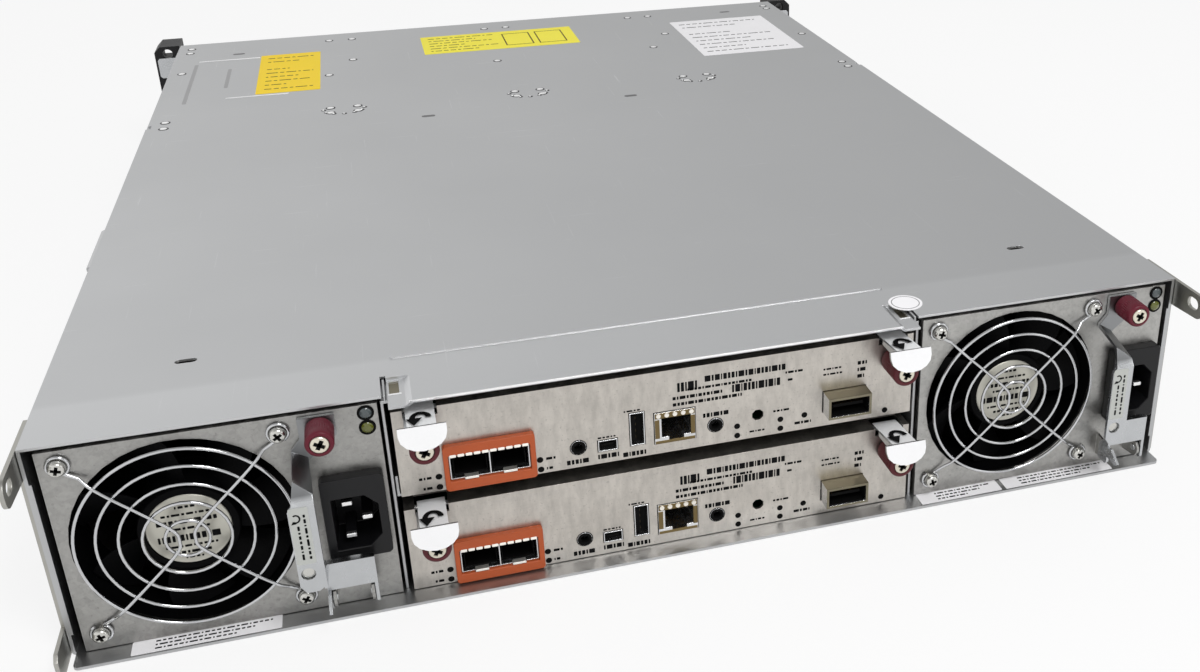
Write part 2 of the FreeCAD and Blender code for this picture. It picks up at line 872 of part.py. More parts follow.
def wire_run(start, end, wire):
    """Square wire from start to end, a little long so that neighbours merge."""
    run = end.sub(start)
    length = run.Length
    bar = block(-wire / 2, wire / 2, -wire / 2, wire / 2, -wire / 3, length + wire / 3)
    turn = FreeCAD.Rotation(vector(0, 0, 1), run)
    bar.Placement = FreeCAD.Placement(start, turn)
    return bar


def power_inlet():
    """Vertical mains inlet: flange, body, keyed cavity and three flat pins."""
    x = inlet_offset
    z = inlet_z
    flange_back = panel_plane - inlet_proud
    flange = block(x - inlet_width / 2, x + inlet_width / 2, flange_back, panel_plane - 0.1,
                   z - inlet_height / 2, z + inlet_height / 2)
    rim = edges_along(flange, vector(0, 1, 0), lambda c: True)
    flange = flange.makeChamfer(inlet_corner, rim)
    half = inlet_width / 2 - inlet_step
    high = inlet_height / 2 - inlet_step
    body = block(x - half, x + half, panel_plane - 0.1, flange_back + inlet_body_depth, z - high, z + high)
    left = x + inlet_cavity_shift - inlet_cavity_width / 2
    right = left + inlet_cavity_width
    low = z - inlet_cavity_drop - inlet_cavity_height / 2
    top = low + inlet_cavity_height
    key = inlet_chamfer
    cavity_end = flange_back + pin_depth
    cavity = prism_y([(left, low), (right - key, low), (right, low + key), (right, top - key),
                      (right - key, top), (left, top)], flange_back - 1, cavity_end)
    shell = cut(join([flange, body]), [cavity])
    centre = (low + top) / 2
    pins = []
    for pin_x, pin_z in ((left + 5.2, centre - pin_spacing / 2), (left + 5.2, centre + pin_spacing / 2),
                         (right - 4.4, centre)):
        pins.append(block(pin_x - pin_width / 2, pin_x + pin_width / 2, flange_back + 4.0, cavity_end,
                          pin_z - pin_sheet / 2, pin_z + pin_sheet / 2))
    return [shell] + pins


def ribbon(stations, sheet):
    """Folded strap of sheet: each station has the left and right points of its outer skin
    and the way to its inner one."""
    sections = []
    for left, right, inward in stations:
        depth = inward * sheet
        corners = [left, right, right.add(depth), left.add(depth)]
        sections.append(Part.makePolygon(corners + [left]))
    return Part.makeLoft(sections, True, True)


def supply_lever():
    """Plate under the thumbscrew, slanted shelf, strap before the panel, foot with the pins."""
    t = lever_sheet
    seat = panel_plane - slide_gap - t
    front = lever_plane
    fold_low = lever_fold_z - lever_fold_fall
    root = prism_y([
        (lever_fold_left, lever_fold_z - t),
        (lever_fold_left, lever_fold_z),
        (lever_root_left, lever_root_low),
        (lever_root_left, lever_top_z),
        (lever_root_right, lever_top_z),
        (lever_root_right, lever_root_low),
        (lever_fold_right + t, fold_low),
        (lever_fold_right, fold_low - t),
    ], seat, seat + t)
    near, far = lever_shelf_setback
    drop_left, drop_right = lever_shelf_fall
    shelf = ribbon([
        (vector(lever_fold_left, seat, lever_fold_z), vector(lever_fold_right, seat, fold_low), vector(0, 1, -1)),
        (vector(lever_fold_left, front + near, lever_fold_z - drop_left),
         vector(lever_strap_right, front + far, lever_fold_z - drop_right), vector(0, 0.7, -0.7)),
        (vector(lever_brow_left, front, lever_brow_z),
         vector(lever_strap_right, front, lever_brow_z), vector(0, 1, 0)),
    ], t)
    inset, rise = lever_strap_corner
    strap = prism_y([
        (lever_strap_left, lever_brow_z - inset),
        (lever_brow_left, lever_brow_z),
        (lever_strap_right, lever_brow_z),
        (lever_strap_right, lever_strap_low + inset),
        (lever_strap_right - rise, lever_strap_low),
        (lever_strap_left + inset, lever_strap_low),
        (lever_strap_left, lever_strap_low + rise),
    ], front, front + t)
    hole = screw_shank_radius + screw_shank_gap
    middle = lever_strap_left + lever_hole_inset
    root = cut(root, [facet_y(hole, shank_flats, supply_screw_offset, supply_screw_z, seat - 1, panel_plane)])
    strap = cut(strap, [facet_y(lever_hole_radius, nose_flats, middle, lever_hole_z, front - 1, front + t + 1)])
    plane = lever_foot_plane
    left = lever_strap_right - lever_cheek_sheet
    right = lever_foot_right
    sheet = lever_cheek_sheet
    plate = block(left, right, plane, plane + sheet, lever_foot_low, lever_foot_high)
    flange = block(left, right, plane, plane + lever_foot_flange, lever_foot_high - sheet, lever_foot_high)
    back = lever_pivot_y
    round_y = lever_pivot_y + ear_round
    cheek = [
        (plane, lever_foot_high),
        (plane, lever_leg_low + 1),
        (plane + 1, lever_leg_low),
        (back, lever_leg_low),
        (round_y, lever_pivot_z - ear_round),
        (round_y, lever_pivot_z + ear_round),
        (back, lever_foot_low + 2),
        (plane + lever_foot_flange, lever_foot_high),
    ]
    web = [(front + t / 2, lever_strap_low), (plane + 1, lever_strap_low), (plane + 1, lever_foot_high),
           (front + t / 2, lever_foot_high + 4)]
    nose = [(plane + 1, lever_pivot_z + 4), (plane - lever_nose * 0.3, lever_pivot_z + 5),
            (plane - lever_nose, lever_pivot_z + 0.6), (plane - lever_nose * 0.8, lever_pivot_z - 0.6),
            (plane + 1, lever_pivot_z)]
    pieces = [root, shelf, strap, plate, flange]
    pieces.append(prism_x(cheek, left, left + sheet))
    pieces.append(prism_x(cheek, right - sheet, right))
    pieces.append(prism_x(web, left, left + sheet))
    pieces.append(prism_x(nose, left, left + sheet))
    reach = sheet + slide_gap + ear_sheet + slide_gap
    for start in (left, right - reach):
        pieces.append(rod_x(lever_pivot_radius, start, start + reach, lever_pivot_y, lever_pivot_z))
    return join(pieces)


def thumbscrew(x, z, radius, face, seat, tip):
    """Plastic cap on a steel screw whose head stands a little proud of the cap."""
    cap = facet_y(radius, cap_flats, x, z, face, seat)
    head = facet_y(screw_head_radius, head_flats, x, z, face - screw_head_proud, face + 1)
    shank = facet_y(screw_shank_radius, shank_flats, x, z, seat - 1, tip)
    return join([cap, head, shank])


# ---- Controller -----------------------------------------------------------------------
def controller_case():
    """Sheet tray with a lid and a rear panel cut out for its ports, at floor level zero."""
    half = controller_width / 2
    top = controller_height
    case = block(-half, half, panel_inside, controller_length, 0, top)
    hollow = block(-half + case_sheet, half - case_sheet, panel_inside - 1, controller_length + 1,
                   case_sheet, top - case_sheet)
    panel = block(-half, half, panel_plane, panel_inside, 0, top)
    case = join([cut(case, [hollow]), panel])
    back = panel_plane - 1
    front = panel_inside + 1
    gap = 0.3
    tools = []

    def window(x, z, width, height):
        tools.append(block(x - width / 2 - gap, x + width / 2 + gap, back, front,
                           z - height / 2 - gap, z + height / 2 + gap))

    window(optical_x, port_z, optical_width + 2 * optical_wall, optical_height + 2 * optical_wall)
    window(small_serial_x, small_serial_z, small_serial_width, small_serial_height)
    window(serial_x, serial_z, serial_width, serial_height)
    window(network_x, network_z, network_width, network_height)
    window(storage_x, storage_z, storage_width, storage_height)
    for x in jack_x:
        tools.append(facet_y(jack_radius + gap, nose_flats, x, jack_z, back, front))
    tools.append(facet_y(button_radius, shank_flats, button_x, button_z, back, front))
    for x in controller_screw_x:
        hole = screw_shank_radius + screw_shank_gap
        tools.append(facet_y(hole, shank_flats, x, controller_screw_z, back, front))
        slot = latch_neck_width / 2 + latch_clear
        tools.append(block(x - slot, x + slot, back, latch_pivot_y + 4, top - latch_notch, top + 1))
    case = cut(case, tools)
    posts = []
    for x in (-half + 8, half - 8):
        for y in (20, controller_length - 20):
            posts.append(block(x - 2.5, x + 2.5, y - 2.5, y + 2.5, case_sheet, case_sheet + board_lift))
    lugs = []
    for x in controller_screw_x:
        for side in (-1, 1):
            inner = x + side * (latch_neck_width / 2 + latch_clear)
            outer = inner + side * case_sheet
            lug = block(min(inner, outer), max(inner, outer), panel_inside, latch_pivot_y + 4,
                        latch_pivot_z - 3.4, top - case_sheet)
            bore = latch_pivot_radius + running_fit
            lugs.append(cut(lug, [facet_x(bore, pivot_flats, latch_pivot_y, latch_pivot_z, inner - 3, inner + 3)]))
    return join([case] + posts + lugs)


def controller_board():
    """Circuit board with the shells of its optical, serial, network and storage ports."""
    low = case_sheet + board_lift
    top = low + board_sheet
    half = controller_width / 2 - case_sheet - 1
    board = block(-half, half, panel_inside + 0.6, controller_length + 1, low, top)
    gold = block(-40, 40, controller_length + 1, controller_length + 1.8, low, top)
    solids = [board]
    start = panel_plane - optical_proud
    width = optical_width + 2 * optical_wall
    height = optical_height + 2 * optical_wall
    cage_low = port_z - height / 2
    cage = block(optical_x - width / 2, optical_x + width / 2, start, start + optical_depth,
                 cage_low, cage_low + height)
    bay = (optical_width - optical_wall) / 2
    bays = []
    for side in (-1, 1):
        middle = optical_x + side * (bay + optical_wall) / 2
        bays.append(block(middle - bay / 2, middle + bay / 2, start - 1, start + optical_depth - 1,
                          cage_low + optical_wall, cage_low + height - optical_wall))
    solids.append(cut(cage, bays))
    solids.append(block(optical_x - 12, optical_x + 12, panel_inside + 4, start + optical_depth - 4,
                        top, cage_low))
    for x in jack_x:
        jack = block(x - jack_radius, x + jack_radius, panel_inside + slide_gap, panel_plane + jack_depth,
                     top, jack_z + jack_radius)
        nose = facet_y(jack_radius, nose_flats, x, jack_z, panel_plane - 0.2, panel_inside + 1)
        bore = rod_y(jack_bore, x, jack_z, panel_plane - 1, panel_plane + jack_depth - 1)
        solids.append(cut(join([jack, nose]), [bore]))
    solids.append(socket(small_serial_x, small_serial_z, small_serial_width, small_serial_height,
                         serial_wall, 7.0, panel_plane - 0.3, top))
    solids.append(socket(serial_x, serial_z, serial_width, serial_height, serial_wall, socket_depth,
                         panel_plane - 0.3, top))
    shell = block(network_x - network_width / 2, network_x + network_width / 2, panel_plane - 0.4,
                  panel_inside + 15, network_z - network_height / 2, network_z + network_height / 2)
    plug_low = network_z - network_height / 2 + 1.2
    plug_x = network_x + 0.5
    plug = block(plug_x - network_plug_width / 2, plug_x + network_plug_width / 2, panel_plane - 2,
                 panel_plane + socket_depth, plug_low + 1.6, plug_low + 1.6 + network_plug_height)
    latch = block(plug_x - 3, plug_x + 3, panel_plane - 2, panel_plane + socket_depth, plug_low, plug_low + 2)
    foot = block(network_x - 6, network_x + 6, panel_inside + 1, panel_inside + 14, top,
                 network_z - network_height / 2)
    solids.append(cut(join([shell, foot]), [join([plug, latch])]))
    solids.append(socket(storage_x, storage_z, storage_width, storage_height, storage_wall, storage_proud + 3,
                         panel_plane - storage_proud, top))
    return solids + [gold]


def socket(x, z, width, height, wall, depth, start, board_top):
    """Rectangular port shell with a plain mouth, standing on the board."""
    shell = block(x - width / 2, x + width / 2, start, start + depth + 6, z - height / 2, z + height / 2)
    mouth = block(x - width / 2 + wall, x + width / 2 - wall, start - 1, start + depth,
                  z - height / 2 + wall, z + height / 2 - wall)
    inner = min(width / 2 - 0.5, 5)
    foot = block(x - inner, x + inner, panel_inside + 0.8, start + depth + 5, board_top, z - height / 2)
    return cut(join([shell, foot]), [mouth])


def optical_bezel():
    """Coloured frame around the pair of optical ports."""
    start = panel_plane - bezel_proud
    frame = block(bezel_x - bezel_width / 2, bezel_x + bezel_width / 2, start, panel_plane,
                  bezel_low, bezel_low + bezel_height)
    corners = edges_along(frame, vector(0, 1, 0), lambda c: True)
    frame = frame.makeChamfer(bezel_corner, corners)
    width = optical_width + 2 * optical_wall + 0.4
    height = optical_height + 2 * optical_wall + 0.4
    return cut(frame, [block(optical_x - width / 2, optical_x + width / 2, start - 1, panel_plane + 1,
                             port_z - height / 2, port_z + height / 2)])


def latch(x):
    """Press-down latch: a leg on a pivot pin, a neck rising over the panel and a finger head."""
    t = latch_sheet
    half = latch_neck_width / 2
    inner_y = latch_pivot_y + t / 2
    path = [(inner_y, latch_pivot_z - 1.8), (inner_y, latch_pivot_z + 2.6), (latch_reach, latch_tip_z)]
    neck = prism_x(bent_sheet(path, t), x - half, x + half)
    width = latch_head_width
    low = latch_tip_z - latch_head_height
    outline = [(x + width / 2, latch_tip_z + 0.4), (x - width / 2, latch_tip_z + 0.4)]
    for step in range(head_steps + 1):
        angle = math.pi * (1 + step / head_steps)
        round_z = low + latch_head_round * (1 + math.sin(angle))
        outline.append((x + width / 2 * math.cos(angle), round_z))
    head = prism_y(outline, latch_reach - t, latch_reach + 0.2)
    head.rotate(vector(x, latch_reach, latch_tip_z), vector(1, 0, 0), -latch_head_lean)
    reach = half + latch_clear + case_sheet
    pin = rod_x(latch_pivot_radius, x - reach, x + reach, latch_pivot_y, latch_pivot_z)
    return join([neck, head, pin])


# ---- Assembly -------------------------------------------------------------------------
keep("base_tray", base_tray())
keep("top_cover", top_cover())
keep("bay_frame", *bay_frame())
keep("drive_cage", disk_cage())
keep("midplane", *midplane())
left_bracket = ear_bracket()
keep("ear_brackets", left_bracket, mirrored(left_bracket))
left_ear = rack_ear()
keep("rack_ears", left_ear, mirrored(left_ear))
keep("rear_brackets", rear_bracket(True), mirrored(rear_bracket(False)))

case = supply_case()
frame = fan_frame()
rotor = fan_rotor()
guard = fan_guard()
inlet = power_inlet()
lever = supply_lever()
supply_screw = thumbscrew(supply_screw_offset, supply_screw_z, supply_screw_radius, supply_screw_face,
                          panel_plane - lever_sheet - 2 * slide_gap, supply_screw_tip)
for side, x in (("left", -supply_x), ("right", supply_x)):
    name = "supply_" + side
    keep(name + "_case", moved(case, x=x))
    keep(name + "_fan_frame", moved(frame, x=x))
    keep(name + "_fan_rotor", moved(rotor, x=x))
    keep(name + "_fan_guard", moved(guard, x=x))
    keep(name + "_inlet", *[moved(piece, x=x) for piece in inlet])
    keep(name + "_lever", moved(lever, x=x))
    keep(name + "_thumbscrew", moved(supply_screw, x=x))

case = controller_case()
board = controller_board()
bezel = optical_bezel()
for level, floor in (("lower", module_floor), ("upper", upper_floor)):
    name = "controller_" + level
    keep(name + "_case", moved(case, z=floor))
    keep(name + "_board", *[moved(piece, z=floor) for piece in board])
    keep(name + "_bezel", moved(bezel, z=floor))
    for side, x in zip(("left", "right"), controller_screw_x):
        screw = thumbscrew(x, controller_screw_z, controller_screw_radius, controller_screw_face,
                           panel_plane - slide_gap, screw_tip)
        keep(name + "_latch_" + side, moved(latch(x), z=floor))
        keep(name + "_thumbscrew_" + side, moved(screw, z=floor))

carrier, drive = disk_module()
release = handle()
for column in range(module_columns):
    for row in range(module_rows):
        number = "%02d" % (row * module_columns + column + 1)
        x = column_x(column)
        z = row_floor(row)
        keep("drive_module_" + number, moved(carrier, x=x, z=z), moved(drive, x=x, z=z))
        keep("drive_handle_" + number, moved(release, x=x, z=z))

os.makedirs("parts", exist_ok=True)
for name, shape in parts.items():
    shape.exportStep(os.path.join("parts", name + ".step"))
    print(name, len(shape.Solids), shape.isValid(), round(shape.Volume, 1))
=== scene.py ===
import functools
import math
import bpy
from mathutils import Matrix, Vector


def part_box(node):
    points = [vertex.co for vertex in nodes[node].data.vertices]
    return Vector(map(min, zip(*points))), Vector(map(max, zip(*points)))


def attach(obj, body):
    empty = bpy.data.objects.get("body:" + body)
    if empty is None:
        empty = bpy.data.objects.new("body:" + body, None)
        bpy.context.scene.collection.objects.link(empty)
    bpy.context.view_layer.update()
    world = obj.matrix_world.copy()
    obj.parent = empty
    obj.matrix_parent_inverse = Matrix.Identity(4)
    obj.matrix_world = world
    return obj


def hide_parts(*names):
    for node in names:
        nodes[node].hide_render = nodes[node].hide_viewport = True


bl_info = {
    "name": "Disk shelf enclosure",
    "version": (1, 0, 0),
    "blender": (4, 5, 0),
    "location": "3D View > Sidebar > Enclosure",
    "description": "Dresses the packed disk shelf enclosure with its finishes, fittings and studio",
    "category": "Object",
}

import bmesh
import bpy
from mathutils import Matrix, Vector

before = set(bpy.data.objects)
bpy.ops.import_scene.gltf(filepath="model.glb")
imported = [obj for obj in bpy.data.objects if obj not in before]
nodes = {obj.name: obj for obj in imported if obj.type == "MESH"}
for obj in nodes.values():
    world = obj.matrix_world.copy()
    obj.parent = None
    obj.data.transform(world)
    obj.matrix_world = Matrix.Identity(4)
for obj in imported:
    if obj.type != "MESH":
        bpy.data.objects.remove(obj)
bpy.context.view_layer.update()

MM = 0.001
FULL_TURN = 2 * math.pi
SIDES = ("left", "right")
LEVELS = ("lower", "upper")
WHITE = (1.0, 1.0, 1.0, 1.0)


def tone(red, green, blue):
    """Linear colour of a display colour written 0 to 255."""
    shares = [value / 255 for value in (red, green, blue)]
    return tuple(((s + 0.055) / 1.055) ** 2.4 if s > 0.04 else s / 12.92 for s in shares)


def lit(colour, share):
    """The colour times a share, no brighter than white."""
    return tuple(min(c * share, 1.0) for c in colour)


class Span:
    """Box of a CAD node at rest, in millimetres."""

    def __init__(self, node):
        low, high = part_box(node)
        self.x0, self.y0, self.z0 = (v / MM for v in low)
        self.x1, self.y1, self.z1 = (v / MM for v in high)
        self.x = (self.x0 + self.x1) / 2
        self.z = (self.z0 + self.z1) / 2


cover = Span("top_cover")
bead_rise = 0.5
cover_top = cover.z1 - bead_rise
panel_y = Span("controller_lower_case").y0
floor_z = {level: Span("controller_%s_case" % level).z0 for level in LEVELS}
supply_x = {side: Span("supply_%s_case" % side).x for side in SIDES}
# The controllers' boards lie this high over their floors, and are this thick.
board_rise = 2.2
board_sheet = 1.8


# ---- Settings -------------------------------------------------------------------------
def colour_setting(name, description, default):
    return bpy.props.FloatVectorProperty(
        name=name, description=description, default=default, size=3, subtype="COLOR",
        min=0.0, max=1.0,
    )


def length_setting(name, description, default):
    return bpy.props.FloatProperty(
        name=name, description=description, default=default * MM, min=0.0, unit="LENGTH",
        precision=4,
    )


class EnclosureFinishes(bpy.types.PropertyGroup):
    cover_steel: colour_setting(
        "Cover steel", "Satin zinc of the cover and the chassis", tone(186, 187, 188))
    supply_steel: colour_setting(
        "Supply steel", "Galvanised panels of the power supplies", tone(175, 174, 171))
    controller_steel: colour_setting(
        "Controller steel", "Brushed panels of the controllers", tone(196, 191, 184))
    bright_zinc: colour_setting(
        "Bright zinc", "Levers, latches and ear angles", tone(196, 198, 200))
    nickel: colour_setting("Nickel", "Screws and port shells", tone(222, 223, 224))
    latch_white: colour_setting(
        "Latch film", "Pale film on the finger heads of the latches", tone(236, 236, 237))
    crimson: colour_setting("Crimson", "Thumbscrew caps of the power supplies", tone(90, 16, 34))
    maroon: colour_setting("Maroon", "Thumbscrew caps of the controllers", tone(84, 24, 32))
    orange: colour_setting("Orange", "Bezels of the optical ports", tone(170, 74, 24))
    black_plastic: colour_setting("Black plastic", "Mains inlets and rack ears", tone(15, 15, 17))
    label_yellow: colour_setting("Yellow label", "Long bare label on the cover", tone(250, 238, 78))
    label_amber: colour_setting("Amber label", "Square bare label on the cover", tone(255, 218, 50))
    label_white: colour_setting(
        "White label", "Bare labels on the cover and the lip", tone(244, 243, 245))


class EnclosureSizes(bpy.types.PropertyGroup):
    rivet_radius: length_setting("Rivet radius", "Radius of the flush rivets", 2.1)
    rivet_rise: length_setting("Rivet rise", "Height of a rivet over the sheet", 0.35)
    label_sheet: length_setting("Label thickness", "Thickness of the cover's labels", 0.12)
    wire_radius: length_setting("Guard wire radius", "Radius of the fan guard's wire", 0.62)
    lamp_radius: length_setting("Lamp radius", "Radius of the supply lamps", 2.1)
    fan_screw_radius: length_setting("Fan screw radius", "Radius of the fan screws' heads", 2.9)


class EnclosureStudio(bpy.types.PropertyGroup):
    key_power: bpy.props.FloatProperty(
        name="Key light", description="Power of the light high over the front",
        default=11.0, min=0.0, unit="POWER",
    )
    fill_power: bpy.props.FloatProperty(
        name="Fill light", description="Power of the light from the right",
        default=3.0, min=0.0, unit="POWER",
    )
    world_strength: bpy.props.FloatProperty(
        name="Room light", description="Strength of the pale surroundings", default=0.97, min=0.0
    )
    floor_colour: colour_setting("Floor", "Colour of the floor", (0.9, 0.9, 0.9))


def palette():
    return bpy.context.scene.enclosure_finishes


def size_of(name):
    """A length of the size settings in millimetres."""
    return getattr(bpy.context.scene.enclosure_sizes, name) / MM


# ---- Shader building ------------------------------------------------------------------
class Sock:
    """A socket of a shader node. Arithmetic and comparison on it add Math nodes."""

    def __init__(self, paint, socket):
        self.paint = paint
        self.socket = socket

    def _math(self, operation, a, b):
        return self.paint.node("ShaderNodeMath", {"operation": operation}, {0: a, 1: b}).out(0)

    def __add__(self, other):
        return self._math("ADD", self, other)

    def __radd__(self, other):
        return self._math("ADD", other, self)

    def __sub__(self, other):
        return self._math("SUBTRACT", self, other)

    def __rsub__(self, other):
        return self._math("SUBTRACT", other, self)

    def __mul__(self, other):
        return self._math("MULTIPLY", self, other)

    def __rmul__(self, other):
        return self._math("MULTIPLY", other, self)

    def __truediv__(self, other):
        return self._math("DIVIDE", self, other)

    def __rtruediv__(self, other):
        return self._math("DIVIDE", other, self)

    def __gt__(self, other):
        return self._math("GREATER_THAN", self, other)

    def __lt__(self, other):
        return self._math("LESS_THAN", self, other)


class NodeBox:
    """A node just added, with its outputs as Socks."""

    def __init__(self, paint, node):
        self.paint = paint
        self.node = node

    def out(self, key):
        return Sock(self.paint, self.node.outputs[key])


class Paint:
    """The nodes of one material, or of the world."""

    # Depth of a bump in metres.
    relief = 0.0001

    def __init__(self, owner):
        self.owner = owner
        owner.use_nodes = True
        self.tree = owner.node_tree
        self.tree.nodes.clear()
        self.texture = self.node("ShaderNodeTexCoord")
        self.place = self.texture.out("Object")

    def node(self, kind, settings=None, inputs=None):
        """Adds a node: settings first, then the values or links of its inputs."""
        node = self.tree.nodes.new(kind)
        for key, value in (settings or {}).items():
            if key == "stops":
                self.set_stops(node.color_ramp, value)
            else:
                setattr(node, key, value)
        for key, value in (inputs or {}).items():
            if isinstance(value, Sock):
                self.tree.links.new(value.socket, node.inputs[key])
            else:
                node.inputs[key].default_value = value
        return NodeBox(self, node)

    @staticmethod
    def set_stops(ramp, stops):
        while len(ramp.elements) > 1:
            ramp.elements.remove(ramp.elements[-1])
        for i, (position, value) in enumerate(stops):
            element = ramp.elements[0] if i == 0 else ramp.elements.new(position)
            element.position = position
            element.color = (value, value, value, 1.0)

    def noise(self, scale, detail=3.0, roughness=0.5, at=None):
        inputs = {
            "Vector": at or self.place, "Scale": scale, "Detail": detail, "Roughness": roughness,
        }
        return self.node("ShaderNodeTexNoise", None, inputs).out(0)

    def drawn_noise(self, scale, detail, roughness, turn=0.0):
        """Noise with its own scale along each axis, turned about Z by some degrees."""
        inputs = {0: self.place, 2: (0.0, 0.0, math.radians(turn)), 3: scale}
        at = self.node("ShaderNodeMapping", None, inputs).out(0)
        return self.noise(1.0, detail, roughness, at)

    def cells(self, scale):
        """Random grey for each cell of a cellular pattern."""
        inputs = {"Vector": self.place, "Scale": scale}
        colour = self.node("ShaderNodeTexVoronoi", None, inputs).out("Color")
        return self.node("ShaderNodeSeparateColor", None, {0: colour}).out(0)

    def ramp(self, value, stops):
        return self.node("ShaderNodeValToRGB", {"stops": stops}, {0: value}).out(0)

    def parts(self, vector):
        """The X, Y and Z of a vector."""
        box = self.node("ShaderNodeSeparateXYZ", None, {0: vector})
        return box.out(0), box.out(1), box.out(2)

    def fade(self, value, start, end, first, last):
        """Goes from first to last while the value goes from start to end."""
        inputs = {
            "Value": value, "From Min": start, "From Max": end, "To Min": first, "To Max": last,
        }
        return self.node("ShaderNodeMapRange", None, inputs).out(0)

    def blend(self, factor, first, second):
        """Colour between first and second."""
        inputs = {0: factor, 6: self.full(first), 7: self.full(second)}
        return self.node("ShaderNodeMix", {"data_type": "RGBA"}, inputs).out(2)

    @staticmethod
    def full(colour):
        """A colour as its socket takes it."""
        return colour if isinstance(colour, Sock) else (*colour, 1.0)

    def shades(self, colour, value, low, high):
        """The colour made darker at value 0 and lighter at value 1."""
        return self.blend(value, tuple(c * low for c in colour), lit(colour, high))

    def bump(self, height, strength):
        inputs = {"Height": height, "Strength": strength, "Distance": self.relief}
        return self.node("ShaderNodeBump", None, inputs).out(0)

    def shader(self, kind, inputs):
        return self.node("ShaderNode" + kind, None, inputs).out(0)

    def done(self, colour, roughness, metallic=0.0, normal=None, more=None):
        """Closes the material. More holds fixed values of the shader's own sockets."""
        inputs = {"Base Color": self.full(colour), "Roughness": roughness, "Metallic": metallic}
        if normal:
            inputs["Normal"] = normal
        surface = self.shader("BsdfPrincipled", {**inputs, **(more or {})})
        self.node("ShaderNodeOutputMaterial", None, {0: surface})
        return self.owner


# ---- Finishes -------------------------------------------------------------------------
def satin_sheet(paint, colour, roughness, wear=1.0, flap=None):
    """Satin zinc sheet: fine grain, slow clouds and faint scratches.

    It is painted lighter towards y 0 as painted light, brightest on the flap and fading over a
    length flap in millimetres."""
    grain = paint.noise(2600, 2.0)
    clouds = paint.noise(9, 3.0, 0.6)
    streaks = paint.drawn_noise((900, 14, 40), 4.0, 0.6, 8)
    handling = paint.drawn_noise((26, 700, 40), 3.0, 0.55, -27)
    long_marks = [(0.0, 0.0), (0.69, 0.0), (0.73, 1.0), (0.75, 1.0), (0.79, 0.0)]
    hand_marks = [(0.0, 0.0), (0.715, 0.0), (0.74, 1.0), (0.76, 1.0), (0.8, 0.0)]
    scratch = (paint.ramp(streaks, long_marks) + paint.ramp(handling, hand_marks)) * (0.25 * wear)
    body = paint.shades(colour, clouds * 0.7 + grain * 0.3, 0.93, 1.07)
    if flap:
        # Painted light: the sheet is made lighter towards its front, most on the flap, fading
        # towards the back.
        depth = paint.parts(paint.place)[1] / (flap * MM)
        painted_light = paint.ramp(depth, [(0.0, 1.0), (0.052, 1.0), (0.056, 0.62), (1.0, 0.0)])
        body = paint.blend(painted_light, body, lit(colour, 1.24))
    shown = paint.blend(scratch, body, lit(colour, 1.35))
    rough = roughness + (clouds - 0.5) * 0.16 + (grain - 0.5) * 0.08 - scratch * 0.2
    return paint.done(shown, rough, 1.0, paint.bump(grain * 0.6 + scratch * 2.0, 0.12))


def galvanised(paint, colour, share=1.0):
    """Galvanised sheet: soft crystal patches, small smears and dark specks."""
    patches = paint.cells(420)
    small = paint.cells(900)
    clouds = paint.noise(70, 4.0, 0.65)
    grain = paint.noise(2200, 2.0)
    specks = paint.ramp(paint.noise(760, 2.0), [(0.0, 1.0), (0.31, 1.0), (0.36, 0.0), (1.0, 0.0)])
    value = patches * 0.3 + small * 0.2 + clouds * 0.5 - specks * 0.25
    # A share under 1 darkens the whole sheet as painted shade.
    shown = paint.shades(tuple(c * share for c in colour), value, 0.72, 1.26)
    rough = 0.38 + (patches - 0.5) * 0.12 + (clouds - 0.5) * 0.2
    return paint.done(shown, rough, 1.0, paint.bump(patches * 0.35 + grain * 0.3, 0.10))


def brushed(paint, colour):
    """Warm panel steel: cloudy blotches with a faint grain from side to side."""
    lines = paint.drawn_noise((60, 90, 2200), 4.0, 0.7)
    blotches = paint.drawn_noise((330, 200, 120), 4.0, 0.65)
    clouds = paint.noise(40, 3.0)
    specks = paint.ramp(paint.noise(900, 2.0), [(0.0, 1.0), (0.30, 1.0), (0.36, 0.0), (1.0, 0.0)])
    value = lines * 0.12 + blotches * 0.58 + clouds * 0.3 - specks * 0.25
    drawn = paint.ramp(value, [(0.0, 0.0), (0.36, 0.0), (0.62, 1.0)])
    rough = 0.38 + (blotches - 0.5) * 0.2 + (lines - 0.5) * 0.08
    normal = paint.bump(blotches * 0.6 + lines * 0.4, 0.14)
    return paint.done(paint.shades(colour, drawn, 0.82, 1.12), rough, 1.0, normal)


def plated(paint, colour, roughness, clouding=0.1):
    """Bright plated metal with a little clouding."""
    clouds = paint.noise(160, 3.0)
    grain = paint.noise(3000, 2.0)
    rough = roughness + (clouds - 0.5) * clouding + (grain - 0.5) * 0.05
    return paint.done(paint.shades(colour, clouds, 0.88, 1.08), rough, 1.0, paint.bump(grain, 0.05))


def lever_finish(paint, colour, brow):
    """Bright zinc, with a painted dark reflection on the slanted shelf above the height brow."""
    start, reach, front = brow - 4.0, 12, -2.5
    depth, height = paint.parts(paint.place)[1:]
    clouds = paint.noise(160, 3.0)
    rise = (height - start * MM) / (reach * MM)
    shelf = paint.ramp(rise, [(0.0, 0.0), (0.34, 0.0), (0.5, 0.8), (1.0, 0.62)])
    # Painted dark reflection on the front of the slanted shelf, above the brow.
    painted_reflection = shelf * (depth < front * MM)
    bright = paint.shades(colour, clouds, 0.88, 1.08)
    shown = paint.blend(painted_reflection, bright, tuple(c * 0.2 for c in colour))
    return paint.done(shown, 0.26 + (clouds - 0.5) * 0.15 + painted_reflection * 0.1, 1.0)


def moulded(paint, colour, roughness, texture=0.25, gloss=0.3):
    """Moulded plastic with a fine spark texture and slow colour drift."""
    spark = paint.noise(2400, 3.0, 0.6)
    drift = paint.noise(40, 3.0)
    shown = paint.shades(colour, drift * 0.6 + spark * 0.4, 0.84, 1.16)
    rough = roughness + (drift - 0.5) * 0.14 + (spark - 0.5) * 0.1
    more = {"Specular IOR Level": gloss}
    return paint.done(shown, rough, 0.0, paint.bump(spark, texture), more)


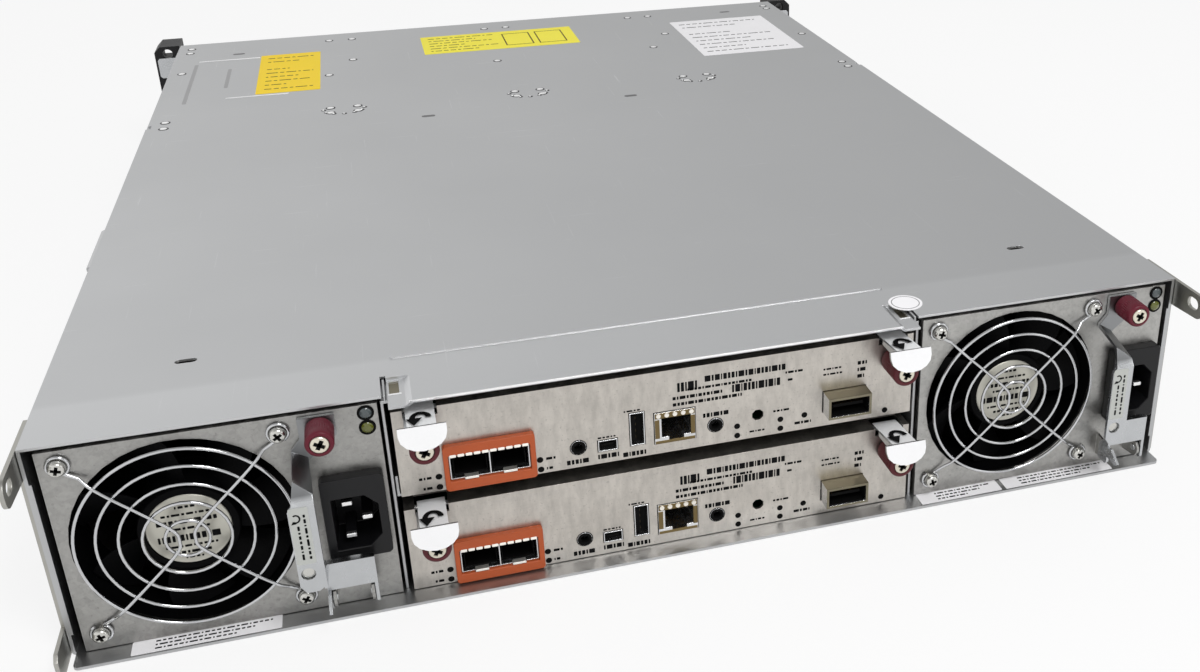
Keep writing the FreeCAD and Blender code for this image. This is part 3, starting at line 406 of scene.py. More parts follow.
def sprayed(paint, colour, roughness=0.38):
    """Sprayed enamel with orange peel and slightly rubbed tone."""
    peel = paint.noise(900, 3.0, 0.55)
    drift = paint.noise(60, 3.0)
    shown = paint.shades(colour, drift * 0.7 + peel * 0.3, 0.86, 1.12)
    return paint.done(shown, roughness + (drift - 0.5) * 0.15, 0.0, paint.bump(peel, 0.18))


def printed(paint, colour, roughness=0.5):
    """Stuck film label with faint fibre and handling marks."""
    fibre = paint.drawn_noise((900, 300, 900), 3.0, 0.6)
    soil = paint.noise(55, 4.0, 0.6)
    shown = paint.shades(colour, fibre * 0.4 + soil * 0.6, 0.94, 1.05)
    more = {"Specular IOR Level": 0.06}
    return paint.done(shown, roughness + (soil - 0.5) * 0.14, 0.0, paint.bump(fibre, 0.05), more)


def lens(paint, colour):
    """Tinted lamp lens."""
    depth = paint.noise(700, 2.0)
    shown = paint.shades(colour, depth, 0.75, 1.25)
    return paint.done(shown, 0.16 + depth * 0.06, more={"Coat Weight": 0.6})


def board_finish(paint, colour, level):
    """Port shells of nickel, and solder mask over the thickness of the board."""
    low = floor_z[level] + board_rise
    high = low + board_sheet
    z = paint.parts(paint.place)[2]
    mask = (z > low * MM) * (z < high * MM)
    clouds = paint.noise(240, 3.0)
    traces = paint.drawn_noise((700, 90, 1), 2.0, 0.5)
    etched = paint.ramp(traces, [(0.0, 0.0), (0.5, 0.0), (0.54, 1.0)])
    green = paint.shades(colour, etched, 0.8, 1.3)
    shells = paint.shades(tuple(palette().nickel), clouds, 0.85, 1.08)
    rough = 0.26 + (clouds - 0.5) * 0.1 + mask * 0.16
    return paint.done(paint.blend(mask, shells, green), rough, 1.0 - mask)


SOLDER_GREEN = tone(24, 78, 52)
# Each finish: its maker, its colour or the setting that holds it, and the maker's settings.
FINISHES = {
    "chassis_zinc": (satin_sheet, "cover_steel", {"roughness": 0.4, "wear": 0.6}),
    "cover_zinc": (satin_sheet, "cover_steel", {"roughness": 0.42, "wear": 1.7, "flap": 520.0}),
    "rubbed_shade": (satin_sheet, tone(124, 124, 125), {"roughness": 0.5}),
    "well_shade": (satin_sheet, tone(66, 66, 67), {"roughness": 0.55}),
    "pressed_shade": (satin_sheet, tone(166, 166, 167), {"roughness": 0.45}),
    "supply_zinc": (galvanised, "supply_steel", {}),
    # The left supply's zinc, made darker all over as painted shade.
    "supply_zinc_cool": (galvanised, "supply_steel", {"share": 0.86}),
    "controller_brushed": (brushed, "controller_steel", {}),
    "lever_zinc": (lever_finish, "bright_zinc", {"brow": 61.5}),
    "bright_zinc": (plated, "bright_zinc", {"roughness": 0.3, "clouding": 0.2}),
    "latch_zinc": (plated, "bright_zinc", {"roughness": 0.26, "clouding": 0.2}),
    "beige_zinc": (plated, tone(178, 177, 171), {"roughness": 0.4, "clouding": 0.2}),
    "window_zinc": (plated, tone(136, 130, 112), {"roughness": 0.4}),
    "web_zinc": (plated, tone(214, 216, 218), {"roughness": 0.4}),
    "screw_zinc": (plated, tone(208, 207, 202), {"roughness": 0.24}),
    "cream_screw_zinc": (plated, tone(226, 220, 204), {"roughness": 0.34}),
    "nickel_plate": (plated, "nickel", {"roughness": 0.16}),
    "guard_chrome": (plated, tone(202, 203, 205), {"roughness": 0.13}),
    # Near-white used as a painted highlight on rivets, ribs, edges and inlet pins.
    "bright_edge": (plated, tone(252, 252, 252), {"roughness": 0.34}),
    "hub_foil": (plated, tone(196, 194, 184), {"roughness": 0.36, "clouding": 0.2}),
    "gold_plate": (plated, tone(214, 170, 84), {"roughness": 0.24}),
    "finger_gold": (plated, tone(250, 244, 236), {"roughness": 0.5}),
    "spring_plate": (plated, tone(255, 250, 242), {"roughness": 0.5}),
    "dull_contacts": (plated, tone(84, 74, 52), {"roughness": 0.5}),
    "shield_bronze": (plated, tone(120, 104, 72), {"roughness": 0.36}),
    "port_bronze": (plated, tone(132, 126, 108), {"roughness": 0.4}),
    "board_lower": (board_finish, SOLDER_GREEN, {"level": "lower"}),
    "board_upper": (board_finish, SOLDER_GREEN, {"level": "upper"}),
    "fan_black": (moulded, tone(5, 5, 6), {"roughness": 0.62, "texture": 0.2, "gloss": 0.07}),
    "rotor_black": (moulded, tone(4, 4, 5), {"roughness": 0.6, "texture": 0.2, "gloss": 0.07}),
    "black_hollow": (moulded, tone(8, 8, 8), {"roughness": 0.7, "texture": 0.2, "gloss": 0.1}),
    "inlet_black": (moulded, "black_plastic", {"roughness": 0.36}),
    "ear_black": (moulded, "black_plastic", {"roughness": 0.5, "texture": 0.4}),
    "crimson_cap": (moulded, "crimson", {"roughness": 0.42}),
    "maroon_cap": (moulded, "maroon", {"roughness": 0.42}),
    "carrier_grey": (moulded, tone(62, 64, 68), {"roughness": 0.4}),
    "handle_grey": (moulded, tone(92, 95, 100), {"roughness": 0.42}),
    "orange_enamel": (sprayed, "orange", {}),
    "solder_mask": (sprayed, SOLDER_GREEN, {"roughness": 0.3}),
    "lens_cool": (lens, tone(66, 74, 76), {}),
    "lens_olive": (lens, tone(88, 92, 22), {}),
    "yellow_film": (printed, "label_yellow", {}),
    "amber_film": (printed, "label_amber", {}),
    "white_film": (printed, "label_white", {}),
    "grey_film": (printed, tone(182, 184, 180), {"roughness": 0.4}),
    "latch_film": (printed, "latch_white", {"roughness": 0.3}),
    "neck_film": (printed, tone(232, 233, 234), {"roughness": 0.3}),
    "brown_ink": (printed, tone(84, 70, 26), {}),
    "pale_ink": (printed, tone(150, 150, 152), {}),
    "mark_ink": (printed, tone(16, 16, 17), {"roughness": 0.6}),
}


@functools.cache
def finish(name):
    """The material of that name in the table of finishes, made once."""
    maker, colour, settings = FINISHES[name]
    if isinstance(colour, str):
        colour = tuple(getattr(palette(), colour))
    return maker(Paint(bpy.data.materials.new(name)), colour, **settings)


# ---- Shape building -------------------------------------------------------------------
AXES = {"x": (1, 2, 0), "y": (0, 2, 1), "z": (0, 1, 2)}


def on_axis(axis, a, b, along):
    """A point from its two coordinates across an axis and the one along it."""
    point = [0.0, 0.0, 0.0]
    ia, ib, ic = AXES[axis]
    point[ia], point[ib], point[ic] = a, b, along
    return tuple(point)


def circle(radius, steps, start=0.0, sweep=FULL_TURN):
    """Points of a circle, or of an arc with both its ends."""
    count = steps if sweep == FULL_TURN else steps + 1
    angles = [start + sweep * i / steps for i in range(count)]
    return [(radius * math.cos(angle), radius * math.sin(angle)) for angle in angles]


def spread(first, step, count):
    """Places in a row, a step apart."""
    return [first + step * i for i in range(count)]


def rounded(width, height, radius, steps=2):
    """Outline of a rounded rectangle about the origin."""
    points = []
    for cx, cy, start in ((1, 1, 0.0), (-1, 1, 0.5), (-1, -1, 1.0), (1, -1, 1.5)):
        for a, b in circle(radius, steps, start * math.pi, math.pi / 2):
            points.append((cx * (width / 2 - radius) + a, cy * (height / 2 - radius) + b))
    return points


def smoothed(path, rounds):
    """A path of points with its corners cut back, so that it bends gently."""
    points = [Vector(p) for p in path]
    for _ in range(rounds):
        cut = [points[0]]
        for a, b in zip(points, points[1:]):
            cut += [a.lerp(b, 0.25), a.lerp(b, 0.75)]
        points = cut + [points[-1]]
    return points


def dashes(start, end, seed, gap, scale):
    """Uneven dashes that fill a line from start to end."""
    lengths = (3.4, 1.6, 4.8, 2.4, 5.6, 1.2, 3.0, 2.0)
    runs = []
    along = start
    step = seed
    while along < end - 0.6:
        stop = min(along + lengths[step % len(lengths)] * scale, end)
        runs.append((along, stop))
        along = stop + gap
        step += 3
    return runs


def arc_arrow(start, sweep, width, wide, tall):
    """Outline of a curved bar about the origin, from one angle over a sweep."""
    angles = [start + sweep * i / 12 for i in range(13)]
    outer, inner = (
        [((wide + half) * math.cos(angle), (tall + half) * math.sin(angle)) for angle in angles]
        for half in (width / 2, -width / 2)
    )
    return outer + inner[::-1]


def wall_faces(count):
    """Faces of a solid between two outlines of as many points: its ends and its walls."""
    ends = [tuple(range(count))[::-1], tuple(range(count, 2 * count))]
    following = [(i + 1) % count for i in range(count)]
    return ends + [(i, j, count + j, count + i) for i, j in enumerate(following)]


class Shape:
    """Collects closed forms in millimetres and becomes one piece in metres.

    Each call that draws a form gives the shape back, so that the next can follow it."""

    def __init__(self):
        self.points = []
        self.faces = []

    def add(self, points, faces):
        base = len(self.points)
        self.points += [tuple(p) for p in points]
        self.faces += [tuple(base + i for i in face) for face in faces]
        return self

    def stamp(self, other, at, turn=0.0):
        """Another shape drawn about the origin and facing -Y, set down at a point."""
        matrix = Matrix.Translation(at) @ Matrix.Rotation(turn, 4, "Y")
        return self.add([matrix @ Vector(p) for p in other.points], other.faces)

    def prism(self, outline, axis, low, high, at=(0.0, 0.0)):
        points = [on_axis(axis, a + at[0], b + at[1], level)
                  for level in (low, high) for a, b in outline]
        return self.add(points, wall_faces(len(outline)))

    def box(self, x0, x1, y0, y1, z0, z1):
        return self.prism([(x0, y0), (x1, y0), (x1, y1), (x0, y1)], "z", z0, z1)

    def dash_row(self, ends, seed, spacing, size, across, axis, levels, upright=False):
        """A row of dashes: spacing is gap and scale, size is height and corner."""
        height, corner = size
        for a, b in dashes(*ends, seed, *spacing):
            if upright:
                outline, at = rounded(height, b - a, corner), (across, (a + b) / 2)
            else:
                outline, at = rounded(b - a, height, corner), ((a + b) / 2, across)
            self.prism(outline, axis, *levels, at)
        return self

    def lathe(self, profile, axis, centre, steps=32):
        """Turned form: profile of (radius, along), closed at both ends on the axis."""
        points = []
        rings = []
        for radius, along in profile:
            turned = circle(radius, steps) if radius > 1e-6 else [(0.0, 0.0)]
            rings.append(list(range(len(points), len(points) + len(turned))))
            points += [on_axis(axis, centre[0] + a, centre[1] + b, along) for a, b in turned]
        faces = []
        for ring, following in zip(rings, rings[1:]):
            for i in range(steps):
                j = (i + 1) % steps
                face = (ring[i % len(ring)], ring[j % len(ring)],
                        following[j % len(following)], following[i % len(following)])
                face = tuple(dict.fromkeys(face))
                if len(face) > 2:
                    faces.append(face)
        return self.add(points, faces)

    def pin(self, radius, axis, centre, low, high, steps):
        """Plain round pin."""
        profile = [(0, low), (radius, low), (radius, high), (0, high)]
        return self.lathe(profile, axis, centre, steps)

    def ring(self, outer, inner, axis, centre, low, high, steps=32):
        """Flat ring between two radii."""
        profile = [(inner, low), (outer, low), (outer, high), (inner, high), (inner, low)]
        return self.lathe(profile, axis, centre, steps)

    def tube(self, path, radius, sides=10, closed=False):
        """Round wire along a path."""
        points = [Vector(p) for p in path]
        count = len(points)
        rings = []
        across = None
        for i, point in enumerate(points):
            before = points[i - 1] if i or closed else point
            after = points[(i + 1) % count] if i < count - 1 or closed else point
            run = (after - before).normalized()
            if across is None:
                across = run.orthogonal().normalized()
            across = (across - run * across.dot(run)).normalized()
            other = run.cross(across)
            rings.append([point + across * a + other * b for a, b in circle(radius, sides)])
        faces = []
        for i in range(count if closed else count - 1):
            j = (i + 1) % count
            shift = 0
            if closed and j == 0:
                shift = min(range(sides), key=lambda s: (rings[0][s] - rings[i][0]).length)
            for s in range(sides):
                t = (s + 1) % sides
                faces.append((i * sides + s, i * sides + t,
                              j * sides + (t + shift) % sides, j * sides + (s + shift) % sides))
        if not closed:
            faces += [tuple(range(sides))[::-1], tuple(range((count - 1) * sides, count * sides))]
        return self.add([p for ring in rings for p in ring], faces)

    def made(self, name, scale):
        """A new object of the shape with all its faces turned outwards."""
        mesh = bpy.data.meshes.new(name)
        mesh.from_pydata([tuple(c * scale for c in p) for p in self.points], [], self.faces)
        work = bmesh.new()
        work.from_mesh(mesh)
        bmesh.ops.remove_doubles(work, verts=work.verts, dist=1e-7)
        bmesh.ops.recalc_face_normals(work, faces=work.faces)
        work.to_mesh(mesh)
        work.free()
        thing = bpy.data.objects.new(name, mesh)
        bpy.context.scene.collection.objects.link(thing)
        return thing

    def piece(self, name, body, look, slot=None, bevel=0.0, smooth=35.0):
        """Makes the object in metres, gives it its finish and puts it on its body."""
        thing = self.made(name, MM)
        thing.data.materials.append(finish(look))
        thing.data.shade_smooth()
        thing.data.set_sharp_from_angle(angle=math.radians(smooth))
        if bevel:
            soften(thing, bevel)
        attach(thing, body)
        return thing


def soften(thing, width, angle=32.0):
    """Rounds the edges of a piece, width in millimetres."""
    modifier = thing.modifiers.new("edge_round", "BEVEL")
    modifier.width = width * MM
    modifier.segments = 2
    modifier.limit_method = "ANGLE"
    modifier.angle_limit = math.radians(angle)
    modifier.use_clamp_overlap = True
    modifier.harden_normals = True


def round_part(part, width):
    """Rounds the edges of a CAD part, with each of its flat sides made one face first."""
    weld = part.modifiers.new("weld", "WELD")
    weld.merge_threshold = 0.00001
    flat = part.modifiers.new("flat_faces", "DECIMATE")
    flat.decimate_type = "DISSOLVE"
    flat.angle_limit = math.radians(0.5)
    soften(part, width, 30.0)


def cut_away(solid, cutter):
    """The shape that is left of solid where cutter is taken from it."""
    things = [shape.made("cutting", 1.0) for shape in (solid, cutter)]
    modifier = things[0].modifiers.new("cut", "BOOLEAN")
    modifier.operation = "DIFFERENCE"
    modifier.solver = "EXACT"
    modifier.use_self = True
    modifier.object = things[1]
    graph = bpy.context.evaluated_depsgraph_get()
    result = bpy.data.meshes.new_from_object(things[0].evaluated_get(graph))
    left = Shape().add([v.co for v in result.vertices], [p.vertices for p in result.polygons])
    for mesh in [thing.data for thing in things] + [result]:
        bpy.data.meshes.remove(mesh)
    return left


def crossed(blade):
    """A shape about the origin, with its copy a quarter turn on."""
    return Shape().stamp(blade, (0, 0, 0)).stamp(blade, (0, 0, 0), math.pi / 2)


def cross_shadow(radius, rise, arm, half):
    """Thin dark cross in the recess of a screw head, as painted shade of the recess.

    Its arms are arm times the radius long and half times the radius to each side."""
    reach, wide = radius * arm * 0.9, radius * half
    return crossed(Shape().box(-reach, reach, -rise * 0.84, -rise * 0.4, -wide, wide))


@functools.cache
def cross_head(radius, rise, crown, arm, half):
    """Pan head with a cross recess, its seat at y 0 and its crown towards -Y."""
    profile = [(0.0, 0.0), (radius, 0.0), (radius, -rise * 0.35)]
    for step in range(1, 7):
        angle = math.pi / 2 * step / 6
        profile.append((radius * (1 - crown + crown * math.cos(angle)),
                        -rise * (0.35 + 0.65 * math.sin(angle))))
    profile.append((0.0, -rise * 1.02))
    mouth = (-rise * 1.3, radius * arm, radius * half * 1.25)
    bottom = (-rise + rise * 0.75, radius * arm * 0.45, radius * half * 0.8)
    corners = ((-1, -1), (1, -1), (1, 1), (-1, 1))
    blade = Shape().add(
        [(sx * reach, y, sz * wide) for y, reach, wide in (mouth, bottom) for sx, sz in corners],
        [(0, 1, 2, 3), (7, 6, 5, 4), (0, 4, 5, 1), (1, 5, 6, 2), (2, 6, 7, 3), (3, 7, 4, 0)],
    )
    return cut_away(Shape().lathe(profile, "y", (0.0, 0.0), 28), crossed(blade))


def flat_label(name, body, look, size, at, axis, level, thickness, corner):
    """Thin stuck label on a face across an axis."""
    low, high = sorted((level, level + thickness))
    Shape().prism(rounded(*size, corner, 5), axis, low, high, at).piece(name, body, look)


def skin(part, facing, rise, shift, keep=None):
    """Thin shell over those faces of a CAD part that look one way."""
    direction = Vector(facing).normalized()
    shape = Shape()
    mesh = part.data
    for face in mesh.polygons:
        if face.normal.dot(direction) < 0.995 or (keep and not keep(face.center / MM)):
            continue
        corners = [mesh.vertices[i].co / MM for i in face.vertices]
        points = [c + face.normal * height for height in (shift, rise) for c in corners]
        shape.add(points, wall_faces(len(corners)))
    return shape


# ---- Operators ------------------------------------------------------------------------
class EnclosureFrameFinish(bpy.types.Operator):
    """Give every CAD part its finish and soften its edges"""

    bl_idname = "enclosure.frame_finish"
    bl_label = "Finish the frame"

    slot_finishes = {
        "chassis_steel": "chassis_zinc", "cover_steel": "cover_zinc",
        "supply_steel": "supply_zinc", "controller_steel": "controller_brushed",
        "zinc_steel": "bright_zinc", "latch_steel": "latch_zinc",
        "guard_wire": "nickel_plate", "port_metal": "nickel_plate",
        "fan_plastic": "fan_black", "rotor_plastic": "rotor_black",
        "inlet_plastic": "inlet_black", "ear_plastic": "ear_black",
        "crimson_plastic": "crimson_cap", "maroon_plastic": "maroon_cap",
        "orange_paint": "orange_enamel", "carrier_metal": "carrier_grey",
        "handle_plastic": "handle_grey", "circuit_board": "solder_mask",
    }
    # CAD parts that look different from the rest of their slot; the left supply's case takes a
    # darker copy of its zinc as painted shade.
    part_finishes = {
        "supply_left_case": "supply_zinc_cool", "rear_brackets": "beige_zinc",
        "supply_left_lever": "lever_zinc", "supply_right_lever": "lever_zinc",
        "controller_lower_board": "board_lower", "controller_upper_board": "board_upper",
    }
    # Width of the edge rounding, by a word in the part's name.
    edge_rounds = {
        "base_tray": 0.35, "top_cover": 0.35, "bay_frame": 0.25, "rear_brackets": 0.35,
        "ear_brackets": 0.35, "rack_ears": 0.9, "drive_module": 0.5, "drive_handle": 0.7,
        "inlet": 0.5, "lever": 0.3, "bezel": 0.35, "_case": 0.22, "fan_frame": 0.5, "board": 0.12,
    }

    def execute(self, context):
        for name, part in nodes.items():
            slot = part.material_slots[0]
            look = self.part_finishes.get(name) or self.slot_finishes[slot.material.name]
            slot.material = finish(look)
            widths = [width for word, width in self.edge_rounds.items() if word in name]
            if widths:
                round_part(part, widths[0])
        return {"FINISHED"}


class EnclosureCoverDetails(bpy.types.Operator):
    """Add the bare labels, the round sticker, the pressed marks and the rivets of the cover, with
    painted shadows round the rivets and painted highlights on edges and ribs
    """

    bl_idname = "enclosure.cover_details"
    bl_label = "Cover details"

    # Name, film, ink, and area from x to x and from y to y.
    labels = (
        ("cover_label_left", "amber_film", "brown_ink", (-165.5, -126.0, 414.0, 512.0)),
        ("cover_label_middle", "yellow_film", "brown_ink", (-56.0, 54.0, 479.0, 529.0)),
        ("cover_label_right", "white_film", "mark_ink", (129.0, 202.0, 414.0, 516.0)),
    )
    # Ends of the dashed lines, as shares of the ruled width, one after the other.
    rule_reaches = (0.96, 0.7, 0.9, 0.54)
    # The frames on the wide label: starts, width, inset from its edges and line.
    frame_starts = (58, 82)
    frame_width, frame_inset, frame_line = 20, 8, 0.9
    sticker_at = (104.6, 13.0)
    sticker_radius = 7.0
    sticker_ring = (5.9, 5.5)
    rivets = [
        (-214, 547), (214, 547), (-214, 535), (214, 538), (-214.7, 480), (213.7, 452),
        (-213.8, 369), (213.8, 370), (-213.6, 357), (213.6, 358), (-104.4, 482), (117.9, 484),
        (-120.4, 446), (-9.5, 447), (101, 449), (-120, 542), (-104, 542), (-8, 542), (8, 542),
        (102, 542), (118, 542),
    ]
    # Shares of a rivet's radius and rise up its dome.
    rivet_dome = ((0.97, 0.6), (0.7, 1.0), (0.35, 1.1), (0.0, 1.15))
    # Middle of each arch of small dimples, which has rivets to its left and right.
    rosettes = [(-112.0, 363.0), (0.0, 363.0), (110.0, 363.0)]
    arch_wide, arch_tall = 12.0, 10.0
    dimple_radius = 1.5
    worn_spots = [(-64.0, 334.0), (60.0, 337.0), (-181.0, 523.0), (179.0, 537.0)]
    spot_size = (8.0, 3.6, 1.7)
    # From x to x at a y, and at an x from y to y.
    bright_strips = ((-206, -166, 508), (-183, -145, 410.6))
    dull_strips = ((-207, 406, 501), (-184.5, 436, 483))
    bright_width, dull_width = 1.3, 2.4
    # How deep the marks on the cover reach into its sheet.
    sunk = 0.1
    flap_half = 95.5
    # Outline of the lit flank in y and over the sheet, and half its length.
    bead_flank = ((27.3, 0.0), (28.6, 0.0), (28.9, 0.42), (28.4, 0.42))
    bead_half = 99.5
    # Outwards from x to x, and from y to y.
    window_plate = (98.0, 102.3, 2.4, 12.8)
    window_edge = (97.6, 102.4, 2.3, 3.0)

    def execute(self, context):
        top = cover_top
        sheet = size_of("label_sheet")
        for name, film, ink, area in self.labels:
            x0, x1, y0, y1 = area
            size, middle = (x1 - x0, y1 - y0), ((x0 + x1) / 2, (y0 + y1) / 2)
            flat_label(name, "root", film, size, middle, "z", top, sheet, 1.0)
            self.rule_lines(name + "_rules", ink, area, top + sheet)
        self.sticker(top, sheet)
        self.rivet_heads(top)
        self.pressed_marks(top)
        self.edge_lines(top)
        return {"FINISHED"}

    def rule_lines(self, name, ink, area, level):
        """Rows of plain dashes across a bare label, and two frames on a wide one."""
        x0, x1, y0, y1 = area
        lines = Shape()
        levels = (level - 0.02, level + 0.04)
        wide = x1 - x0 > y1 - y0
        rows = 6 if wide else 9
        width = (x1 - x0) * (0.5 if wide else 0.92)
        for row in range(rows):
            if row == 2 and not wide:
                continue
            y = y1 - (y1 - y0) * (row + 1) / (rows + 1)
            reach = x0 + width * self.rule_reaches[row % 4]
            lines.dash_row((x0 + 5, reach), row, (1.4, 1.3), (1.3, 0.3), y, "z", levels)
        if wide:
            inset = self.frame_inset
            for x in (x0 + start for start in self.frame_starts):
                self.outline(lines, (x, x + self.frame_width, y0 + inset, y1 - inset), levels)
        lines.piece(name, "root", ink)

    def outline(self, lines, area, levels):
        """Plain frame drawn in thin lines."""
        x0, x1, y0, y1 = area
        line = self.frame_line
        sides = ((x0, x1, y0, y0 + line), (x0, x1, y1 - line, y1),
                 (x0, x0 + line, y0, y1), (x1 - line, x1, y0, y1))
        for side in sides:
            lines.box(*side, *levels)

    def sticker(self, level, sheet):
        at, radius = self.sticker_at, self.sticker_radius
        profile = [(0.0, level - 0.1), (radius, level - 0.1), (radius, level + sheet),
                   (0.0, level + sheet * 1.2)]
        Shape().lathe(profile, "z", at, 48).piece("cover_round_sticker", "root", "white_film")
        low, high = level + sheet * 0.9, level + sheet * 1.4
        line = Shape().ring(*self.sticker_ring, "z", at, low, high, 48)
        line.piece("cover_sticker_ring", "root", "pale_ink")

    def rivet_heads(self, top):
        radius = size_of("rivet_radius")
        rise = size_of("rivet_rise")
        low = top - self.sunk
        heads, painted_shadows, spots = Shape(), Shape(), Shape()
        dome = [(radius * share, top + rise * height) for share, height in self.rivet_dome]
        beside = [(x + dx, y + dy) for x, y in self.rosettes for dx in (-8, 8) for dy in (-4, 6)]
        # Each rivet gets a dark ring, a painted shadow, and a head in the near-white of the painted
        # highlight.
        for place in self.rivets + beside:
            heads.lathe([(0.0, top - 0.2), (radius, top - 0.2)] + dome, "z", place, 24)
            painted_shadows.ring(radius + 0.8, radius - 0.2, "z", place, low, top + 0.07, 24)
        # Each dimple is a dark disc of painted shade, with a small painted highlight, its glint,
        # above and to the left.
        for x, y in self.rosettes:
            for turn in range(7):
                angle = math.pi * (1.0 + turn / 6)
                dimple = (x + self.arch_wide * math.cos(angle),
                          y + 2 + self.arch_tall * math.sin(angle))
                glint = (dimple[0] - 0.3, dimple[1] + 0.5)
                painted_shadows.pin(self.dimple_radius, "z", dimple, low, top + 0.06, 16)
                heads.lathe([(0, top), (0.8, top), (0.7, top + 0.16), (0, top + 0.2)],
                            "z", glint, 12)
        for place in self.worn_spots:
            spots.prism(rounded(*self.spot_size, 4), "z", low, top + 0.04, place)
        spots.piece("cover_rubbed_spots", "root", "rubbed_shade")
        heads.piece("cover_rivets", "root", "bright_edge", "cover_steel")
        painted_shadows.piece("cover_rivet_wells", "root", "well_shade")

    def pressed_marks(self, top):
        bright, dull = Shape(), Shape()
        low = top - self.sunk
        # The bright strips are raised ribs painted near-white: a painted highlight on their tops.
        for x0, x1, y in self.bright_strips:
            outline = rounded(x1 - x0, self.bright_width, 0.6, 3)
            bright.prism(outline, "z", low, top + 0.28, ((x0 + x1) / 2, y))
        for x, y0, y1 in self.dull_strips:
            outline = rounded(self.dull_width, y1 - y0, 1.0, 3)
            dull.prism(outline, "z", low, top + 0.06, (x, (y0 + y1) / 2))
        bright.piece("cover_bright_strips", "root", "bright_edge", "cover_steel", bevel=0.1)
        dull.piece("cover_pressed_marks", "root", "pressed_shade", "cover_steel", bevel=0.1)

    def edge_lines(self, top):
        """Painted highlights along the folded edge of the flap, the front flank of its bead and a
        thin strip at each window, and the window plates.
        """
        lines = Shape()
        reach = self.flap_half
        lines.box(-reach, reach, cover.y0 - 0.08, cover.y0 + 0.55, top - 0.7, top + 0.04)
        flank = [(y, top + rise) for y, rise in self.bead_flank]
        lines.prism(flank, "x", -self.bead_half, self.bead_half)
        plates = Shape()
        layers = ((plates, self.window_plate, 2.55, 2.25), (lines, self.window_edge, 1.45, 1.2))
        for shape, (inner, outer, y0, y1), low, high in layers:
            shape.box(-outer, -inner, y0, y1, top - low, top - high)
            shape.box(inner, outer, y0, y1, top - low, top - high)
        lines.piece("cover_edge_lines", "root", "bright_edge", "cover_steel", bevel=0.08)
        plates.piece("cover_window_plates", "root", "window_zinc", "cover_steel", bevel=0.05)


